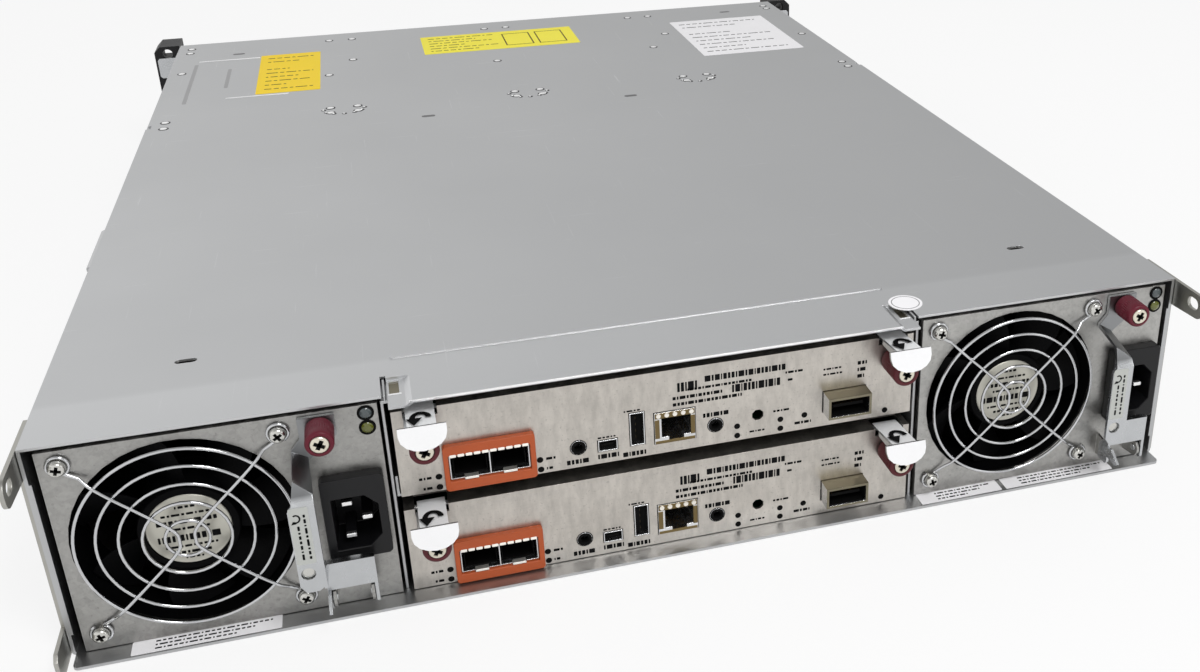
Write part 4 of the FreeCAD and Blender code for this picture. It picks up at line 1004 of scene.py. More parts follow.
class EnclosureFans(bpy.types.Operator):
    """Model the round wire guards, the fan screws and the moulded rotors"""

    bl_idname = "enclosure.fans"
    bl_label = "Fans and guards"

    ring_radii = (36.6, 29.6, 22.4, 14.8, 7.4)
    # From the fan's middle to each screw, across and up, and the wire's eye round it.
    eye_reach = 35.35
    eye_radius = 3.5
    # How far the rings stand off the guard's plate, and the turns of the screws' crosses.
    ring_gap = 1.8
    screw_turns = (0.3, 1.0)
    screw_rise = 2.2
    # Arm and half width of the fan screws' cross, as shares of the radius.
    screw_cross = (0.7, 0.17)
    hub_radius = 17.4
    hub_depth = 18.0
    # From the hub's edge in to its foil plate and to the roots of the blades.
    plate_inset, root_inset = 2.9, 0.8
    blade_count = 7
    blade_depth = 9.4
    # Height over the hub's middle, width and height of each row of marks.
    hub_rows = (
        (9.6, 7.0, 1.0), (6.6, 17.0, 0.9), (3.6, 21.0, 1.7), (0.6, 14.0, 1.0),
        (-3.2, 22.0, 2.6), (-6.8, 18.0, 0.9), (-9.4, 12.0, 1.1), (-11.8, 6.0, 0.8),
    )

    def execute(self, context):
        for side in SIDES:
            body = "supply_" + side
            duct = Span(body + "_fan_frame")
            centre = (duct.x, duct.z)
            self.wire_guard(body, centre, Span(body + "_fan_guard").y0)
            self.screws(body, centre)
            self.rotor(body, centre)
        return {"FINISHED"}

    def wire_guard(self, body, centre, front):
        wire = size_of("wire_radius")
        guard = Shape()
        ring_y = front + wire + self.ring_gap
        for radius in self.ring_radii:
            steps = max(28, int(radius * 2.2))
            ring = [(centre[0] + a, ring_y, centre[1] + b) for a, b in circle(radius, steps)]
            guard.tube(ring, wire, closed=True)
        for side in (-1, 1):
            guard.tube(self.spoke(centre, side, panel_y - 0.3 - wire, ring_y - wire * 1.7), wire)
        piece = guard.piece(body + "_wire_guard", body, "guard_chrome", "guard_wire", smooth=60)
        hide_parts(body + "_fan_guard")

    def spoke(self, centre, side, seat, spoke_y):
        """Path of a wire from an eye at the upper screw, bent in to the hub, to the lower."""
        cx, cz = centre
        reach = self.eye_reach
        eyes = {}
        for up in (1, -1):
            start = math.atan2(-up, -side) + 0.35 * side * up
            arc = circle(self.eye_radius, 20, start, -side * up * math.radians(305))
            eyes[up] = [(cx + side * reach + a, seat, cz + up * reach + b) for a, b in arc]
        bends = ((5.6, 5.6, seat - 0.5), (9.5, 9.5, spoke_y), (27.0, 26.0, spoke_y),
                 (32.6, 32.0, spoke_y))
        upper = [(cx + side * (reach - inward), y, cz + reach - drop) for inward, drop, y in bends]
        lower = [(x, y, 2 * cz - z) for x, y, z in upper[::-1]]
        waist = [(cx + side * 2.6, spoke_y, cz)]
        return eyes[1][::-1] + smoothed(upper + waist + lower, 3) + eyes[-1]

    def screws(self, body, centre):
        radius, rise = size_of("fan_screw_radius"), self.screw_rise
        head = cross_head(radius, rise, 0.5, *self.screw_cross)
        # The dark cross in each screw's recess is painted shade.
        fill = cross_shadow(radius, rise, *self.screw_cross)
        screws, recess_shades = Shape(), Shape()
        seat = panel_y - 1.9
        for side, turn in zip((-1, 1), self.screw_turns):
            for up in (-1, 1):
                x, z = centre[0] + side * self.eye_reach, centre[1] + up * self.eye_reach
                screws.stamp(head, (x, seat, z), turn * up)
                recess_shades.stamp(fill, (x, seat, z), turn * up)
                screws.pin(1.7, "y", (x, z), seat - 0.2, panel_y + 0.2, 16)
        screws.piece(body + "_fan_screws", body, "screw_zinc", "guard_wire", smooth=28)
        recess_shades.piece(body + "_fan_screw_recesses", body, "black_hollow")

    def rotor(self, body, centre):
        span = Span(body + "_fan_rotor")
        r = self.hub_radius
        front, back = span.y0, span.y0 + self.hub_depth
        rotor = Shape()
        hub = [(0, front + 0.6), (r - 3.2, front + 0.6), (r - 2.6, front), (r - 1.4, front),
               (r - 0.4, front + 0.4), (r, front + 1.4), (r, back), (0, back)]
        rotor.lathe(hub, "y", centre, 56)
        rotor.pin(2.0, "y", centre, back - 0.5, span.y1, 16)
        tip = max(span.x1 - centre[0], span.z1 - centre[1]) - 0.1
        for turn in range(self.blade_count):
            angle = FULL_TURN * turn / self.blade_count
            self.blade(rotor, centre, front + self.blade_depth, r - self.root_inset, tip, angle)
        fan = body + "_fan"
        piece = rotor.piece(body + "_rotor_moulding", fan, "rotor_black", "rotor_plastic",
                            smooth=40)
        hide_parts(body + "_fan_rotor")
        disc = r - self.plate_inset
        profile = [(0, front + 0.05), (disc - 0.3, front + 0.05), (disc, front + 0.3),
                   (0, front + 0.3)]
        Shape().lathe(profile, "y", centre, 56).piece(body + "_hub_plate", fan, "hub_foil")
        marks = Shape()
        levels = (front - 0.02, front + 0.1)
        for row, width, height in self.hub_rows:
            ends, seed = (-width / 2, width / 2), int(row * 2) % 7
            line = Shape().dash_row(ends, seed, (0.6, 0.5), (height, 0.2), row, "y", levels)
            marks.stamp(line, (centre[0], 0.0, centre[1]))
        marks.piece(body + "_hub_marks", fan, "mark_ink")

    def blade(self, shape, centre, middle, root, tip, angle):
        """One twisted blade with a curved section."""
        rows, columns, sheet = 9, 8, 0.75
        grid = []
        for i in range(rows):
            share = i / (rows - 1)
            radius = root + (tip - root) * share
            chord = 14.0 + 9.0 * share
            pitch = math.radians(46 - 20 * share)
            sweep = 0.20 * share * share
            for j in range(columns):
                u = j / (columns - 1) - 0.5
                camber = 1.5 * (1 - 4 * u * u)
                along = u * chord
                turn = angle + (along * math.cos(pitch)) / radius + sweep
                y = middle + along * math.sin(pitch) - camber * math.cos(pitch)
                grid.append((radius, turn, y, sheet * (1 - 1.3 * u * u) / 2))
        points = [(centre[0] + radius * math.cos(turn), y + side * thin,
                   centre[1] + radius * math.sin(turn))
                  for side in (-1, 1) for radius, turn, y, thin in grid]
        count = rows * columns
        faces = []
        for i in range(rows - 1):
            for j in range(columns - 1):
                a = i * columns + j
                quad = (a, a + 1, a + columns + 1, a + columns)
                faces += [quad, tuple(count + k for k in quad[::-1])]
        last = (rows - 1) * columns
        edge = [*range(columns), *range(2 * columns - 1, count, columns),
                *range(count - 2, last - 1, -1), *range(last - columns, 0, -columns)]
        faces += [(a, b, count + b, count + a) for a, b in zip(edge, edge[1:] + edge[:1])]
        shape.add(points, faces)


class EnclosureSupplyDetails(bpy.types.Operator):
    """Add the lamps, inlet pins and lever labels of the power supplies"""

    bl_idname = "enclosure.supply_details"
    bl_label = "Power supply details"

    lamp_offset = 51.7
    lamps = (("cool", 82.1), ("olive", 76.1))
    # Each pin's middle, across and up from the middle of the three, which lies below the
    # inlet's own, and half of a pin's width and height.
    pins = ((-2.8, -7.0), (-2.8, 7.0), (3.8, 0.0))
    pins_drop = 1.9
    pin_wide, pin_tall = 1.9, 0.9
    label_width = 6.6
    label_low, label_high = 36.2, 60.0
    button_at = (25.4, 31.8)

    def execute(self, context):
        for side in SIDES:
            body = "supply_" + side
            self.lamp_lenses(body, supply_x[side] + self.lamp_offset)
            self.inlet_pins(body)
            self.lever_label(body)
            self.lever_button(body, supply_x[side])
        return {"FINISHED"}

    def lamp_lenses(self, body, x):
        radius, y = size_of("lamp_radius"), panel_y
        for word, z in self.lamps:
            dome = [(0, y), (radius, y), (radius, y - 0.5), (radius * 0.8, y - 0.95),
                    (radius * 0.4, y - 1.2), (0, y - 1.3)]
            lamp = Shape().lathe(dome, "y", (x, z), 28)
            lamp.piece("%s_lamp_%s" % (body, word), body, "lens_" + word)
            collar = Shape().ring(radius + 0.9, radius - 0.1, "y", (x, z), y - 0.35, y, 28)
            collar.piece("%s_lamp_collar_%s" % (body, word), body, "black_hollow")

    def inlet_pins(self, body):
        inlet = Span(body + "_inlet")
        y, wide, tall = inlet.y0, self.pin_wide, self.pin_tall
        pins = Shape()
        for dx, dz in self.pins:
            x, z = inlet.x + dx, inlet.z - self.pins_drop + dz
            pins.box(x - wide, x + wide, y + 2.6, y + 16.9, z - tall, z + tall)
        # The pins take the near-white of the painted highlight, so that they stay bright in the
        # inlet's shaded cavity.
        pins.piece(body + "_inlet_pins", body, "bright_edge", "inlet_plastic", bevel=0.4)

    def lever_label(self, body):
        """Bare label on the lever, with a small arrow and two columns of dashes."""
        lever = Span(body + "_lever")
        left, front = lever.x0 + 0.3, lever.y0
        width, low, high = self.label_width, self.label_low, self.label_high
        middle = (left + width / 2, (low + high) / 2)
        flat_label(body + "_lever_label", body + "_lever_body", "grey_film", (width, high - low),
                   middle, "y", front - 0.12, 0.14, 0.8)
        marks = Shape()
        levels = (front - 0.16, front - 0.1)
        bow = arc_arrow(2.2, -4.4, 0.6, 1.3, 1.5)
        point = [(-1.0, 0.0), (0.9, 0.2), (-0.2, 1.4)]
        marks.prism(bow, "y", *levels, (left + 2.2, high - 4.4))
        marks.prism(point, "y", *levels, (left + 1.4, high - 6.6))
        for column, offset in enumerate((2.6, 5.0)):
            ends = (low + 2.0, high - 7.5 + column * 5.0)
            marks.dash_row(ends, 2 + column, (0.7, 0.5), (0.8, 0.2), left + offset, "y", levels,
                           upright=True)
        marks.piece(body + "_lever_marks", body + "_lever_body", "mark_ink")

    def lever_button(self, body, x):
        front = Span(body + "_lever").y0
        dx, z = self.button_at
        profile = [(0, front + 0.7), (1.7, front + 0.7), (2.2, front + 0.95), (2.2, front + 1.3),
                   (0, front + 1.3)]
        button = Shape().lathe(profile, "y", (x + dx, z), 24)
        button.piece(body + "_lever_button", body + "_lever_body", "screw_zinc")


class EnclosureThumbscrews(bpy.types.Operator):
    """Model the fluted caps and cross heads of the thumbscrews"""

    bl_idname = "enclosure.thumbscrews"
    bl_label = "Thumbscrews"

    flutes = 36
    flute_depth = 0.28
    # Radius, rise, crown, arm and half width of the cross head.
    head = (3.4, 1.8, 0.25, 0.74, 0.2)
    # Gap between a cap's back and the panel.
    supply_gap = 2.2
    controller_gap = 0.4

    def execute(self, context):
        for side in SIDES:
            node, body = "supply_%s_thumbscrew" % side, "supply_%s_screw" % side
            self.screw(node, body, "crimson", panel_y - self.supply_gap)
        for level in LEVELS:
            for side in SIDES:
                node = "controller_%s_thumbscrew_%s" % (level, side)
                self.screw(node, node + "_body", "maroon", panel_y - self.controller_gap)
        return {"FINISHED"}

    def screw(self, node, body, colour, seat):
        slot = colour + "_plastic"
        span = Span(node)
        centre = (span.x, span.z)
        front = span.y0 + 0.6
        cap = self.cap(centre, (span.z1 - span.z0) / 2 - 0.05, front, seat)
        piece = cap.piece(node + "_cap", body, colour + "_cap", slot, smooth=50)
        at, turn = (centre[0], front + 1.3, centre[1]), 0.5
        stem = [(0, front + 1.2), (1.9, front + 1.2), (1.9, span.y1 - 0.8), (1.1, span.y1),
                (0, span.y1)]
        screw = Shape().stamp(cross_head(*self.head), at, turn).lathe(stem, "y", centre, 20)
        screw.piece(node + "_screw", body, "cream_screw_zinc", slot, smooth=28)
        # The dark cross in the head's recess is painted shade.
        radius, rise, _, arm, half = self.head
        recess = Shape().stamp(cross_shadow(radius, rise, arm, half), at, turn)
        recess.piece(node + "_recess", body, "black_hollow")
        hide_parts(node)

    def cap(self, centre, radius, front, seat):
        """Hollow cap, with every second line of its side drawn in as a flute."""
        profile = [(3.5, front + 2.0), (3.5, front + 0.1), (radius - 0.9, front),
                   (radius - 0.25, front + 0.35), (radius, front + 1.1)]
        for share in (0.25, 0.5, 0.75):
            profile.append((radius, front + 1.1 + (seat - front - 2.0) * share))
        profile += [(radius, seat - 0.9), (radius - 0.3, seat - 0.2), (radius - 0.7, seat),
                    (2.2, seat), (2.2, front + 2.0), (3.5, front + 2.0)]
        steps = self.flutes * 2
        cap = Shape().lathe(profile, "y", centre, steps)
        for k, (x, y, z) in enumerate(cap.points):
            dx, dz = x - centre[0], z - centre[1]
            distance = math.hypot(dx, dz)
            fluted = distance > radius - 0.05 and front + 2.2 < y < seat - 1.4
            if fluted and (k % steps) % 2 == 0:
                scale = (radius - self.flute_depth) / distance
                cap.points[k] = (centre[0] + dx * scale, y, centre[1] + dz * scale)
        return cap


class EnclosureLatches(bpy.types.Operator):
    """Model the bent latches with their D-shaped heads and curved arrows"""

    bl_idname = "enclosure.latches"
    bl_label = "Latches"

    # Slopes of a latch's head and neck, half the neck's width, and where its arrow lies.
    head_lean = math.radians(18.0)
    neck_rise = math.radians(6.25)
    neck_half = 5.2
    arrow_reach = 6.9
    arrow_point = [(-5.1, 0.5), (0.6, 0.3), (-2.5, -5.8)]

    def execute(self, context):
        for level in LEVELS:
            for side in SIDES:
                node = "controller_%s_latch_%s" % (level, side)
                round_part(nodes[node], 0.35)
                self.dress(node, node + "_body", nodes[node])
        return {"FINISHED"}

    def dress(self, node, body, part):
        head = (0.0, -math.cos(self.head_lean), math.sin(self.head_lean))
        upper = (0.0, math.sin(self.neck_rise), math.cos(self.neck_rise))
        along = Vector((0.0, upper[2], -upper[1]))
        skin(part, head, 0.14, 0.02).piece(node + "_film", body, "latch_film")
        skin(part, upper, 0.1, 0.02).piece(node + "_neck_film", body, "neck_film")
        span = Span(node)
        edge = span.x - self.neck_half
        y, z = span.y0 + 4.0, span.z1 - 0.4
        outline = [(y, z), (y + 12.6, z - 1.4), (y + 12.6, z - 3.4), (y + 1.5, z - 3.2)]
        web = Shape().prism(outline, "x", edge - 0.75, edge + 0.05)
        web.piece(node + "_web", body, "web_zinc", "latch_steel", bevel=0.15)
        bow = arc_arrow(math.radians(4), math.radians(182), 2.0, 2.9, 4.6)
        arrow = Shape().prism(bow, "z", 0.0, 0.05).prism(self.arrow_point, "z", 0.0, 0.05)
        tip = max((v.co / MM for v in part.data.vertices), key=lambda p: p.z - p.y * 0.02)
        base = Vector((span.x, tip.y, tip.z)) + along * self.arrow_reach + Vector(upper) * 0.09
        laid = [base + Vector((x, 0, 0)) + along * y + Vector(upper) * z
                for x, y, z in arrow.points]
        Shape().add(laid, arrow.faces).piece(node + "_arrow", body, "mark_ink")


class EnclosurePorts(bpy.types.Operator):
    """Fill the controllers' ports with their contacts, springs, jacks and lamps"""

    bl_idname = "enclosure.ports"
    bl_label = "Controller ports"

    # Places are measured across from x 0 and up from the controller's floor.
    lamps = ((-50.5, 6.1), (-50.4, 1.8), (-88.3, 6.2), (-88.4, 1.7), (27.9, 6.5), (27.9, 2.2),
             (46.0, 6.4), (46.0, 2.2), (56.2, 6.6), (91.2, 2.6))
    jacks = ((-35.6, 8.8), (19.0, 8.8))
    optical_x = -69.2
    optical_floor, optical_roof = 5.2, 14.8
    # From the optical port's middle to its first finger and to each cage's middle.
    finger_reach, cage_reach = 13.4, 7.2
    finger_step = 2.98
    network_x = 3.1
    storage_at = (73.2, 11.2)
    storage_half = (8.13, 3.68)
    storage_roof = 15.9
    # From x to x, height over the floor, and height of the dashes.
    caption_rows = (
        (-40.4, -31.6, 2.6, 2.0), (-28.2, -19.6, 3.0, 2.0), (-18.4, -9.0, 2.0, 2.0),
        (14.0, 25.0, 13.8, 1.9), (-48.2, -44.4, 6.2, 1.1), (-48.2, -45.6, 1.9, 1.1),
        (-95.6, -91.0, 6.2, 1.1), (-94.4, -91.0, 1.8, 1.1), (-28.0, -21.0, 11.4, 0.7),
        (-17.4, -11.0, 21.2, 0.7), (33.0, 40.0, 3.0, 0.8), (43.0, 50.0, 10.6, 0.9),
        (52.0, 60.0, 3.4, 1.2), (69.0, 77.0, 3.4, 1.2), (64.0, 72.0, 23.6, 0.8),
        (64.0, 72.0, 26.0, 0.8), (78.6, 82.6, 26.6, 1.6), (78.6, 82.6, 23.6, 1.6),
        (78.6, 82.6, 20.6, 1.6), (4.0, 12.0, 28.2, 4.0), (15.0, 48.0, 30.2, 2.6),
        (8.0, 34.0, 26.6, 1.1), (2.0, 22.0, 23.6, 1.4), (26.0, 46.0, 24.0, 3.4),
        (2.0, 30.0, 20.8, 1.4), (48.0, 56.0, 27.4, 1.0), (49.0, 51.0, 24.0, 1.0),
    )

    def execute(self, context):
        for level in LEVELS:
            body, floor = "controller_" + level, floor_z[level]
            for build in (self.lamp_holes, self.round_jacks, self.optical, self.serial,
                          self.network, self.storage, self.captions):
                build(body, floor, panel_y)
        return {"FINISHED"}

    def boxes(self, name, body, look, areas, **settings):
        """One piece of several plain blocks."""
        shape = Shape()
        for area in areas:
            shape.box(*area)
        return shape.piece(name, body, look, **settings)

    def lamp_holes(self, body, floor, y):
        lenses = Shape()
        profile = [(0, y + 0.4), (1.25, y + 0.4), (1.25, y - 0.08), (0.9, y - 0.14), (0, y - 0.1)]
        for x, z in self.lamps:
            lenses.lathe(profile, "y", (x, floor + z), 18)
        lenses.piece(body + "_lamps", body, "black_hollow")

    def round_jacks(self, body, floor, y):
        noses = Shape()
        profile = [(1.5, y + 3), (2.9, y + 3), (2.9, y - 0.3), (2.6, y - 0.5), (1.9, y - 0.4),
                   (1.5, y + 0.2), (1.5, y + 3)]
        for x, z in self.jacks:
            noses.lathe(profile, "y", (x, floor + z))
            noses.ring(3.35, 2.7, "y", (x, floor + z), y - 0.1, y + 0.6)
        noses.piece(body + "_jack_noses", body, "black_hollow", smooth=40)

    def optical(self, body, floor, y):
        """Row of fingers over the two cages, a spring under each, and their dark insides."""
        low, top = floor + self.optical_floor, floor + self.optical_roof
        back = y + 14.5
        face = Span(body + "_bezel").y0
        finger = [(face - 0.5, top + 0.3), (face + 0.1, top + 1.5), (face + 1.4, top + 1.3),
                  (face + 1.4, top - 0.2)]
        fingers = Shape()
        for x in spread(self.optical_x - self.finger_reach, self.finger_step, 10):
            fingers.prism(finger, "x", x - 1.25, x + 1.25)
        fingers.piece(body + "_optical_fingers", body, "finger_gold", "port_metal", bevel=0.25)
        springs, insides = [], []
        for x in (self.optical_x - self.cage_reach, self.optical_x + self.cage_reach):
            springs.append((x - 2.6, x + 2.6, face - 0.2, face + 2.4, low - 0.4, low + 0.6))
            insides += [
                (x - 6.2, x + 6.2, back, back + 0.6, low + 0.2, top - 0.2),
                (x - 6.3, x - 6.0, y + 1.1, back, low + 0.2, top - 0.2),
                (x + 6.0, x + 6.3, y + 1.1, back, low + 0.2, top - 0.2),
                (x - 6.2, x + 6.2, y + 1.1, back, low + 0.1, low + 0.4),
            ]
        self.boxes(body + "_optical_springs", body, "spring_plate", springs, slot="port_metal",
                   bevel=0.2)
        self.boxes(body + "_optical_insides", body, "black_hollow", insides)

    def serial(self, body, floor, y):
        """Tongues, dark backs and contacts of the upright and the small serial port."""
        tongues = [(-14.6, -12.9, y + 0.8, y + 12, floor + 7.2, floor + 18.4),
                   (-26.6, -21.8, y + 0.6, y + 6.2, floor + 7.6, floor + 8.4)]
        backs = [(-15.1, -9.7, y + 2.4, y + 2.8, floor + 5.9, floor + 19.9),
                 (-27.8, -20.6, y + 2.0, y + 2.4, floor + 5.6, floor + 10.0)]
        contacts = [(-12.95, -12.7, y + 1.4, y + 11, z - 0.5, z + 0.5)
                    for z in spread(floor + 8.6, 2.8, 4)]
        contacts += [(x - 0.2, x + 0.2, y + 0.9, y + 6, floor + 7.45, floor + 7.65)
                     for x in spread(-26.2, 1.0, 5)]
        self.boxes(body + "_serial_tongues", body, "black_hollow", tongues, bevel=0.15)
        self.boxes(body + "_serial_backs", body, "black_hollow", backs)
        self.boxes(body + "_serial_contacts", body, "dull_contacts", contacts)

    def network(self, body, floor, y):
        """Dark back and slanting wires of the network port, and the shield round its mouth."""
        x, low = self.network_x, floor + 5.8
        self.boxes(body + "_network_back", body, "black_hollow",
                   [(x - 5.8, x + 5.8, y + 13.2, y + 13.8, low, low + 9.8)])
        wires = Shape()
        line = ((1.2, 9.5), (5.0, 8.6), (12.5, 5.4))
        for wx in spread(x - 3.57, 1.02, 8):
            wires.tube([(wx, y + deep, low + high) for deep, high in line], 0.22, 6)
        wires.piece(body + "_network_contacts", body, "gold_plate")
        strips = [(-5.4, 10.6, y - 0.55, y, floor + 15.9, floor + 18.3),
                  (-5.4, 10.6, y - 0.48, y, floor + 4.6, floor + 5.9),
                  (-5.5, -3.6, y - 0.5, y, floor + 7.0, floor + 15.4),
                  (8.9, 10.7, y - 0.5, y, floor + 7.0, floor + 15.4)]
        self.boxes(body + "_network_shield", body, "shield_bronze", strips, bevel=0.1)
        studs = Shape()
        profile = [(0, y - 0.5), (1.05, y - 0.5), (0.9, y - 0.9), (0, y - 1.0)]
        for stud_x in spread(-4.0, 3.3, 5):
            studs.lathe(profile, "y", (stud_x, floor + 17.2), 16)
        studs.piece(body + "_network_studs", body, "finger_gold")

    def storage(self, body, floor, y):
        """Tongue, contacts and dark lining of the storage port, and its bronze rim and roof."""
        x, z = self.storage_at[0], floor + self.storage_at[1]
        wide, tall = self.storage_half
        front, back, thin = y - 5.9, y + 2.9, 0.06
        self.boxes(body + "_storage_tongue", body, "black_hollow",
                   [(x - 6.6, x + 6.6, y - 4.4, y + 2.4, z - 0.7, z + 0.7)], bevel=0.15)
        lining = []
        for up in (-1, 1):
            side, level = x + up * wide, z + up * tall
            lining += [(x - wide, x + wide, front, back, level - thin, level + thin),
                       (side - thin, side + thin, front, back, z - tall, z + tall)]
        lining.append((x - wide, x + wide, back - 0.1, back, z - tall, z + tall))
        self.boxes(body + "_storage_lining", body, "black_hollow", lining)
        pads = [(pad - 0.3, pad + 0.3, y - 4.1, y + 2.2, z + 0.66, z + 0.76)
                for pad in spread(x - 6.0, 1.0, 13)]
        self.boxes(body + "_storage_contacts", body, "gold_plate", pads)
        board, roof_z = nodes[body + "_board"], floor + self.storage_roof
        rim = skin(board, (0, -1, 0), 0.06, 0.01, lambda c: c.x > 60.0 and c.y < y - 2.0)
        roof = skin(board, (0, 0, 1), 0.06, 0.01, lambda c: c.x > 60.0 and abs(c.z - roof_z) < 0.4)
        rim.piece(body + "_storage_rim", body, "port_bronze")
        roof.piece(body + "_storage_roof", body, "port_bronze")

    def captions(self, body, floor, y):
        """Short plain dashes in place of printed words, and one block of them by the ports."""
        marks = Shape()
        for row, (x0, x1, z, height) in enumerate(self.caption_rows):
            marks.dash_row((x0, x1), row, (0.45, 0.42), (height, 0.2), floor + z, "y",
                           (y - 0.05, y + 0.2))
        marks.piece(body + "_captions", body, "mark_ink")


class EnclosureDriveFronts(bpy.types.Operator):
    """Add lamps, grip lines and vents to the disk module fronts"""

    bl_idname = "enclosure.drive_fronts"
    bl_label = "Disk module fronts"

    vent_count, vent_step = 4, 3.4
    rib_count, rib_step = 7, 2.2
    lamp_height = 3.4

    def execute(self, context):
        for name in sorted(name for name in nodes if name.startswith("drive_module_")):
            number = name[-2:]
            body = "drive_" + number
            face, grip = Span(name), Span("drive_handle_" + number)
            front = face.y1
            vents, lamps, ribs = Shape(), Shape(), Shape()
            for x in spread(face.x0 + 6.0, self.vent_step, self.vent_count):
                outline = rounded(2.0, 4.2, 0.9, 3)
                vents.prism(outline, "y", front - 0.02, front + 0.05, (x, face.z))
            for z in (face.z - self.lamp_height, face.z + self.lamp_height):
                outline = rounded(1.4, 3.0, 0.6, 3)
                lamps.prism(outline, "y", front - 0.05, front + 0.25, (face.x1 - 3.6, z))
            for x in spread(grip.x1 - 12, -self.rib_step, self.rib_count):
                outline = rounded(0.8, 10.0, 0.35)
                ribs.prism(outline, "y", grip.y1 - 0.05, grip.y1 + 0.3, (x, face.z))
            vents.piece(body + "_vents", body, "black_hollow")
            lamps.piece(body + "_lamps", body, "lens_cool")
            ribs.piece(body + "_handle_ribs", "drive_handle_%s_body" % number, "handle_grey")
        return {"FINISHED"}


class EnclosureTrayDetails(bpy.types.Operator):
    """Add the bare label strips on the lip"""

    bl_idname = "enclosure.tray_details"
    bl_label = "Tray details"

    strips = ((-203.0, -151.0), (107.5, 145.0), (147.0, 199.0))
    lip_level = 1.2
    strip_y = -4.4
    strip_width = 7.6
    row_step = 2.0

    def execute(self, context):
        level = self.lip_level
        for i, (x0, x1) in enumerate(self.strips):
            name = "lip_label_%d" % (i + 1)
            size, middle = (x1 - x0, self.strip_width), ((x0 + x1) / 2, self.strip_y)
            flat_label(name, "root", "white_film", size, middle, "z", level, 0.1, 0.5)
            marks = Shape()
            for row in range(3):
                ends = (x0 + 8.0, x1 - 3.0 - 6.0 * row)
                y = self.strip_y + self.row_step * (1 - row)
                marks.dash_row(ends, row + i, (0.6, 0.5), (0.8, 0.2), y, "z",
                               (level + 0.08, level + 0.13))
            marks.piece(name + "_marks", "root", "mark_ink")
        return {"FINISHED"}


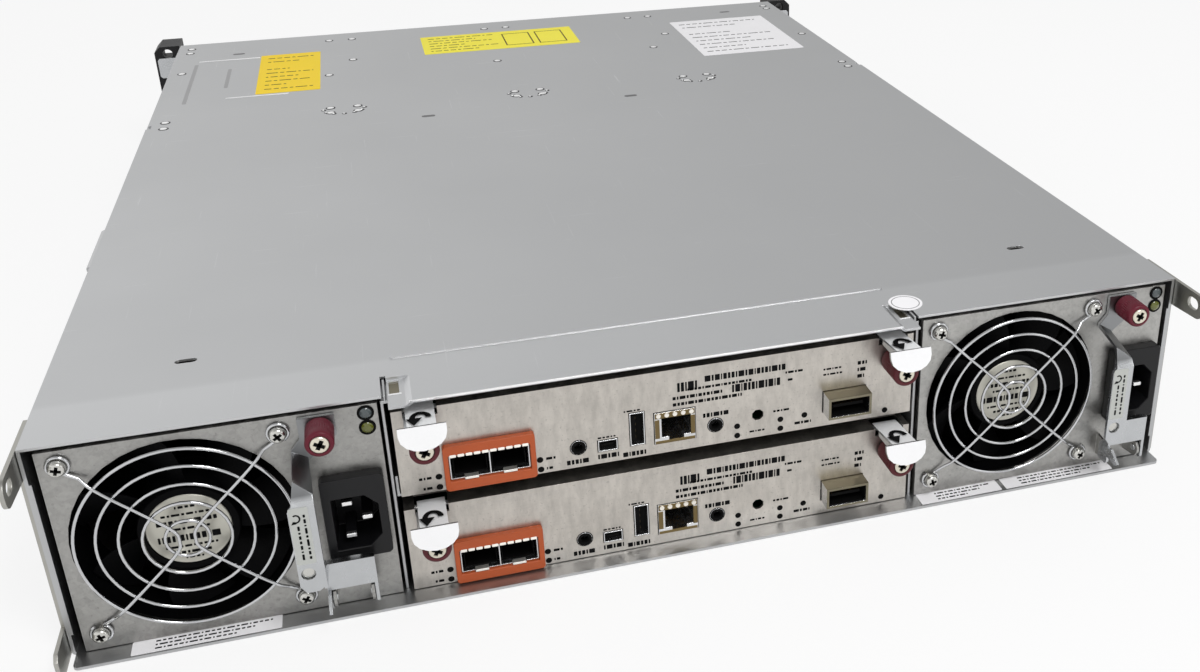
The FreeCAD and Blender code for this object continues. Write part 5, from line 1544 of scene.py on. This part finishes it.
class EnclosureStage(bpy.types.Operator):
    """Set up the floor, the soft lights, the surroundings and the camera"""

    bl_idname = "enclosure.stage"
    bl_label = "Studio"

    eye = (-0.0938018, -0.4157753, 0.3164618)
    # Azimuth, elevation and roll of the camera in degrees.
    angles = (-16.6501, 24.0429, -0.494)
    lens = 37.9925
    shift = (-0.11777, -0.06471)
    aim = (0.0, 0.15, 0.05)
    floor_reach = 12.0
    floor_drop = 0.0004

    def execute(self, context):
        scene = context.scene
        studio = scene.enclosure_studio
        self.floor(scene, tuple(studio.floor_colour))
        scene.world = self.surroundings(studio.world_strength)
        self.area_light(scene, "key_light", (0.35, -0.8, 1.35), 0.5, studio.key_power)
        self.area_light(scene, "fill_light", (1.7, -1.1, 0.75), 0.9, studio.fill_power)
        self.camera(scene)
        scene.view_settings.view_transform = "Standard"
        return {"FINISHED"}

    def floor(self, scene, colour):
        """Pale floor that shows white to the camera and keeps the shadow."""
        mesh = bpy.data.meshes.new("studio_floor")
        reach = self.floor_reach
        corners = [(-reach, -reach, 0), (reach, -reach, 0), (reach, reach, 0), (-reach, reach, 0)]
        mesh.from_pydata(corners, [], [(0, 1, 2, 3)])
        floor = bpy.data.objects.new("studio_floor", mesh)
        floor.location.z = -self.floor_drop
        scene.collection.objects.link(floor)
        paint = Paint(bpy.data.materials.new("studio_floor"))
        base = paint.shades(colour, paint.noise(3.0, 2.0), 0.99, 1.01)
        rough = {"Base Color": base, "Roughness": 0.9, "Specular IOR Level": 0.1}
        matte = paint.shader("BsdfPrincipled", rough)
        white = paint.shader("Emission", {0: WHITE, 1: 1.0})
        rays = paint.node("ShaderNodeLightPath")
        direct = rays.out("Is Camera Ray") + rays.out("Is Transmission Ray")
        seen = direct * 0.8 + rays.out("Is Glossy Ray") * 0.45
        surface = paint.shader("MixShader", {0: seen, 1: matte, 2: white})
        paint.node("ShaderNodeOutputMaterial", None, {0: surface})
        mesh.materials.append(paint.owner)

    def surroundings(self, strength):
        """Pale room, a little darker to the right and overhead, with a white background."""
        paint = Paint(bpy.data.worlds.new("studio_world"))
        across, _, up = paint.parts(paint.texture.out("Generated"))
        side = paint.fade(across, -0.35, 0.75, 1.1, 0.56)
        ceiling = paint.fade(up, 0.5, 0.9, 1.0, 0.45)
        room = paint.shader("Background", {0: WHITE, 1: side * ceiling * strength})
        white = paint.shader("Background", {0: WHITE, 1: 1.0})
        seen = paint.node("ShaderNodeLightPath").out("Is Camera Ray")
        surface = paint.shader("MixShader", {0: seen, 1: room, 2: white})
        paint.node("ShaderNodeOutputWorld", None, {0: surface})
        return paint.owner

    def area_light(self, scene, name, place, size, power):
        data = bpy.data.lights.new(name, "AREA")
        data.shape = "SQUARE"
        data.size = size
        data.energy = power
        light = bpy.data.objects.new(name, data)
        light.location = place
        towards = Vector(self.aim) - Vector(place)
        light.rotation_mode = "QUATERNION"
        light.rotation_quaternion = towards.to_track_quat("-Z", "Y")
        scene.collection.objects.link(light)

    def camera(self, scene):
        data = bpy.data.cameras.new("studio_camera")
        data.sensor_width = 36.0
        data.lens = self.lens
        data.shift_x, data.shift_y = self.shift
        data.clip_start = 0.01
        data.clip_end = 50.0
        camera = bpy.data.objects.new("studio_camera", data)
        azimuth, elevation, roll = (math.radians(v) for v in self.angles)
        back = Vector((math.sin(azimuth) * math.cos(elevation),
                       -math.cos(azimuth) * math.cos(elevation), math.sin(elevation)))
        across = Vector((0, 0, 1)).cross(back).normalized()
        up = back.cross(across)
        side = across * math.cos(roll) + up * math.sin(roll)
        top = up * math.cos(roll) - across * math.sin(roll)
        turn = Matrix((side, top, back)).transposed().to_4x4()
        camera.matrix_world = Matrix.Translation(self.eye) @ turn
        scene.collection.objects.link(camera)
        scene.camera = camera


OPERATORS = (
    EnclosureFrameFinish,
    EnclosureCoverDetails,
    EnclosureFans,
    EnclosureSupplyDetails,
    EnclosureThumbscrews,
    EnclosureLatches,
    EnclosurePorts,
    EnclosureDriveFronts,
    EnclosureTrayDetails,
    EnclosureStage,
)
SETTINGS = {
    "enclosure_finishes": EnclosureFinishes,
    "enclosure_sizes": EnclosureSizes,
    "enclosure_studio": EnclosureStudio,
}


class EnclosurePanel(bpy.types.Panel):
    """Sidebar panel with the enclosure's settings and steps"""

    bl_idname = "VIEW3D_PT_enclosure"
    bl_label = "Disk shelf enclosure"
    bl_space_type = "VIEW_3D"
    bl_region_type = "UI"
    bl_category = "Enclosure"

    def draw(self, context):
        for name, group in SETTINGS.items():
            box = self.layout.box()
            for setting in group.__annotations__:
                box.prop(getattr(context.scene, name), setting)
        column = self.layout.column()
        for operator in OPERATORS:
            column.operator(operator.bl_idname)


CLASSES = (*SETTINGS.values(), *OPERATORS, EnclosurePanel)


def register():
    for cls in CLASSES:
        bpy.utils.register_class(cls)
    for name, group in SETTINGS.items():
        setattr(bpy.types.Scene, name, bpy.props.PointerProperty(type=group))


def unregister():
    for name in SETTINGS:
        delattr(bpy.types.Scene, name)
    for cls in reversed(CLASSES):
        bpy.utils.unregister_class(cls)


def main():
    register()
    for operator in OPERATORS:
        group, name = operator.bl_idname.split(".")
        getattr(getattr(bpy.ops, group), name)()


if __name__ == "__main__":
    main()
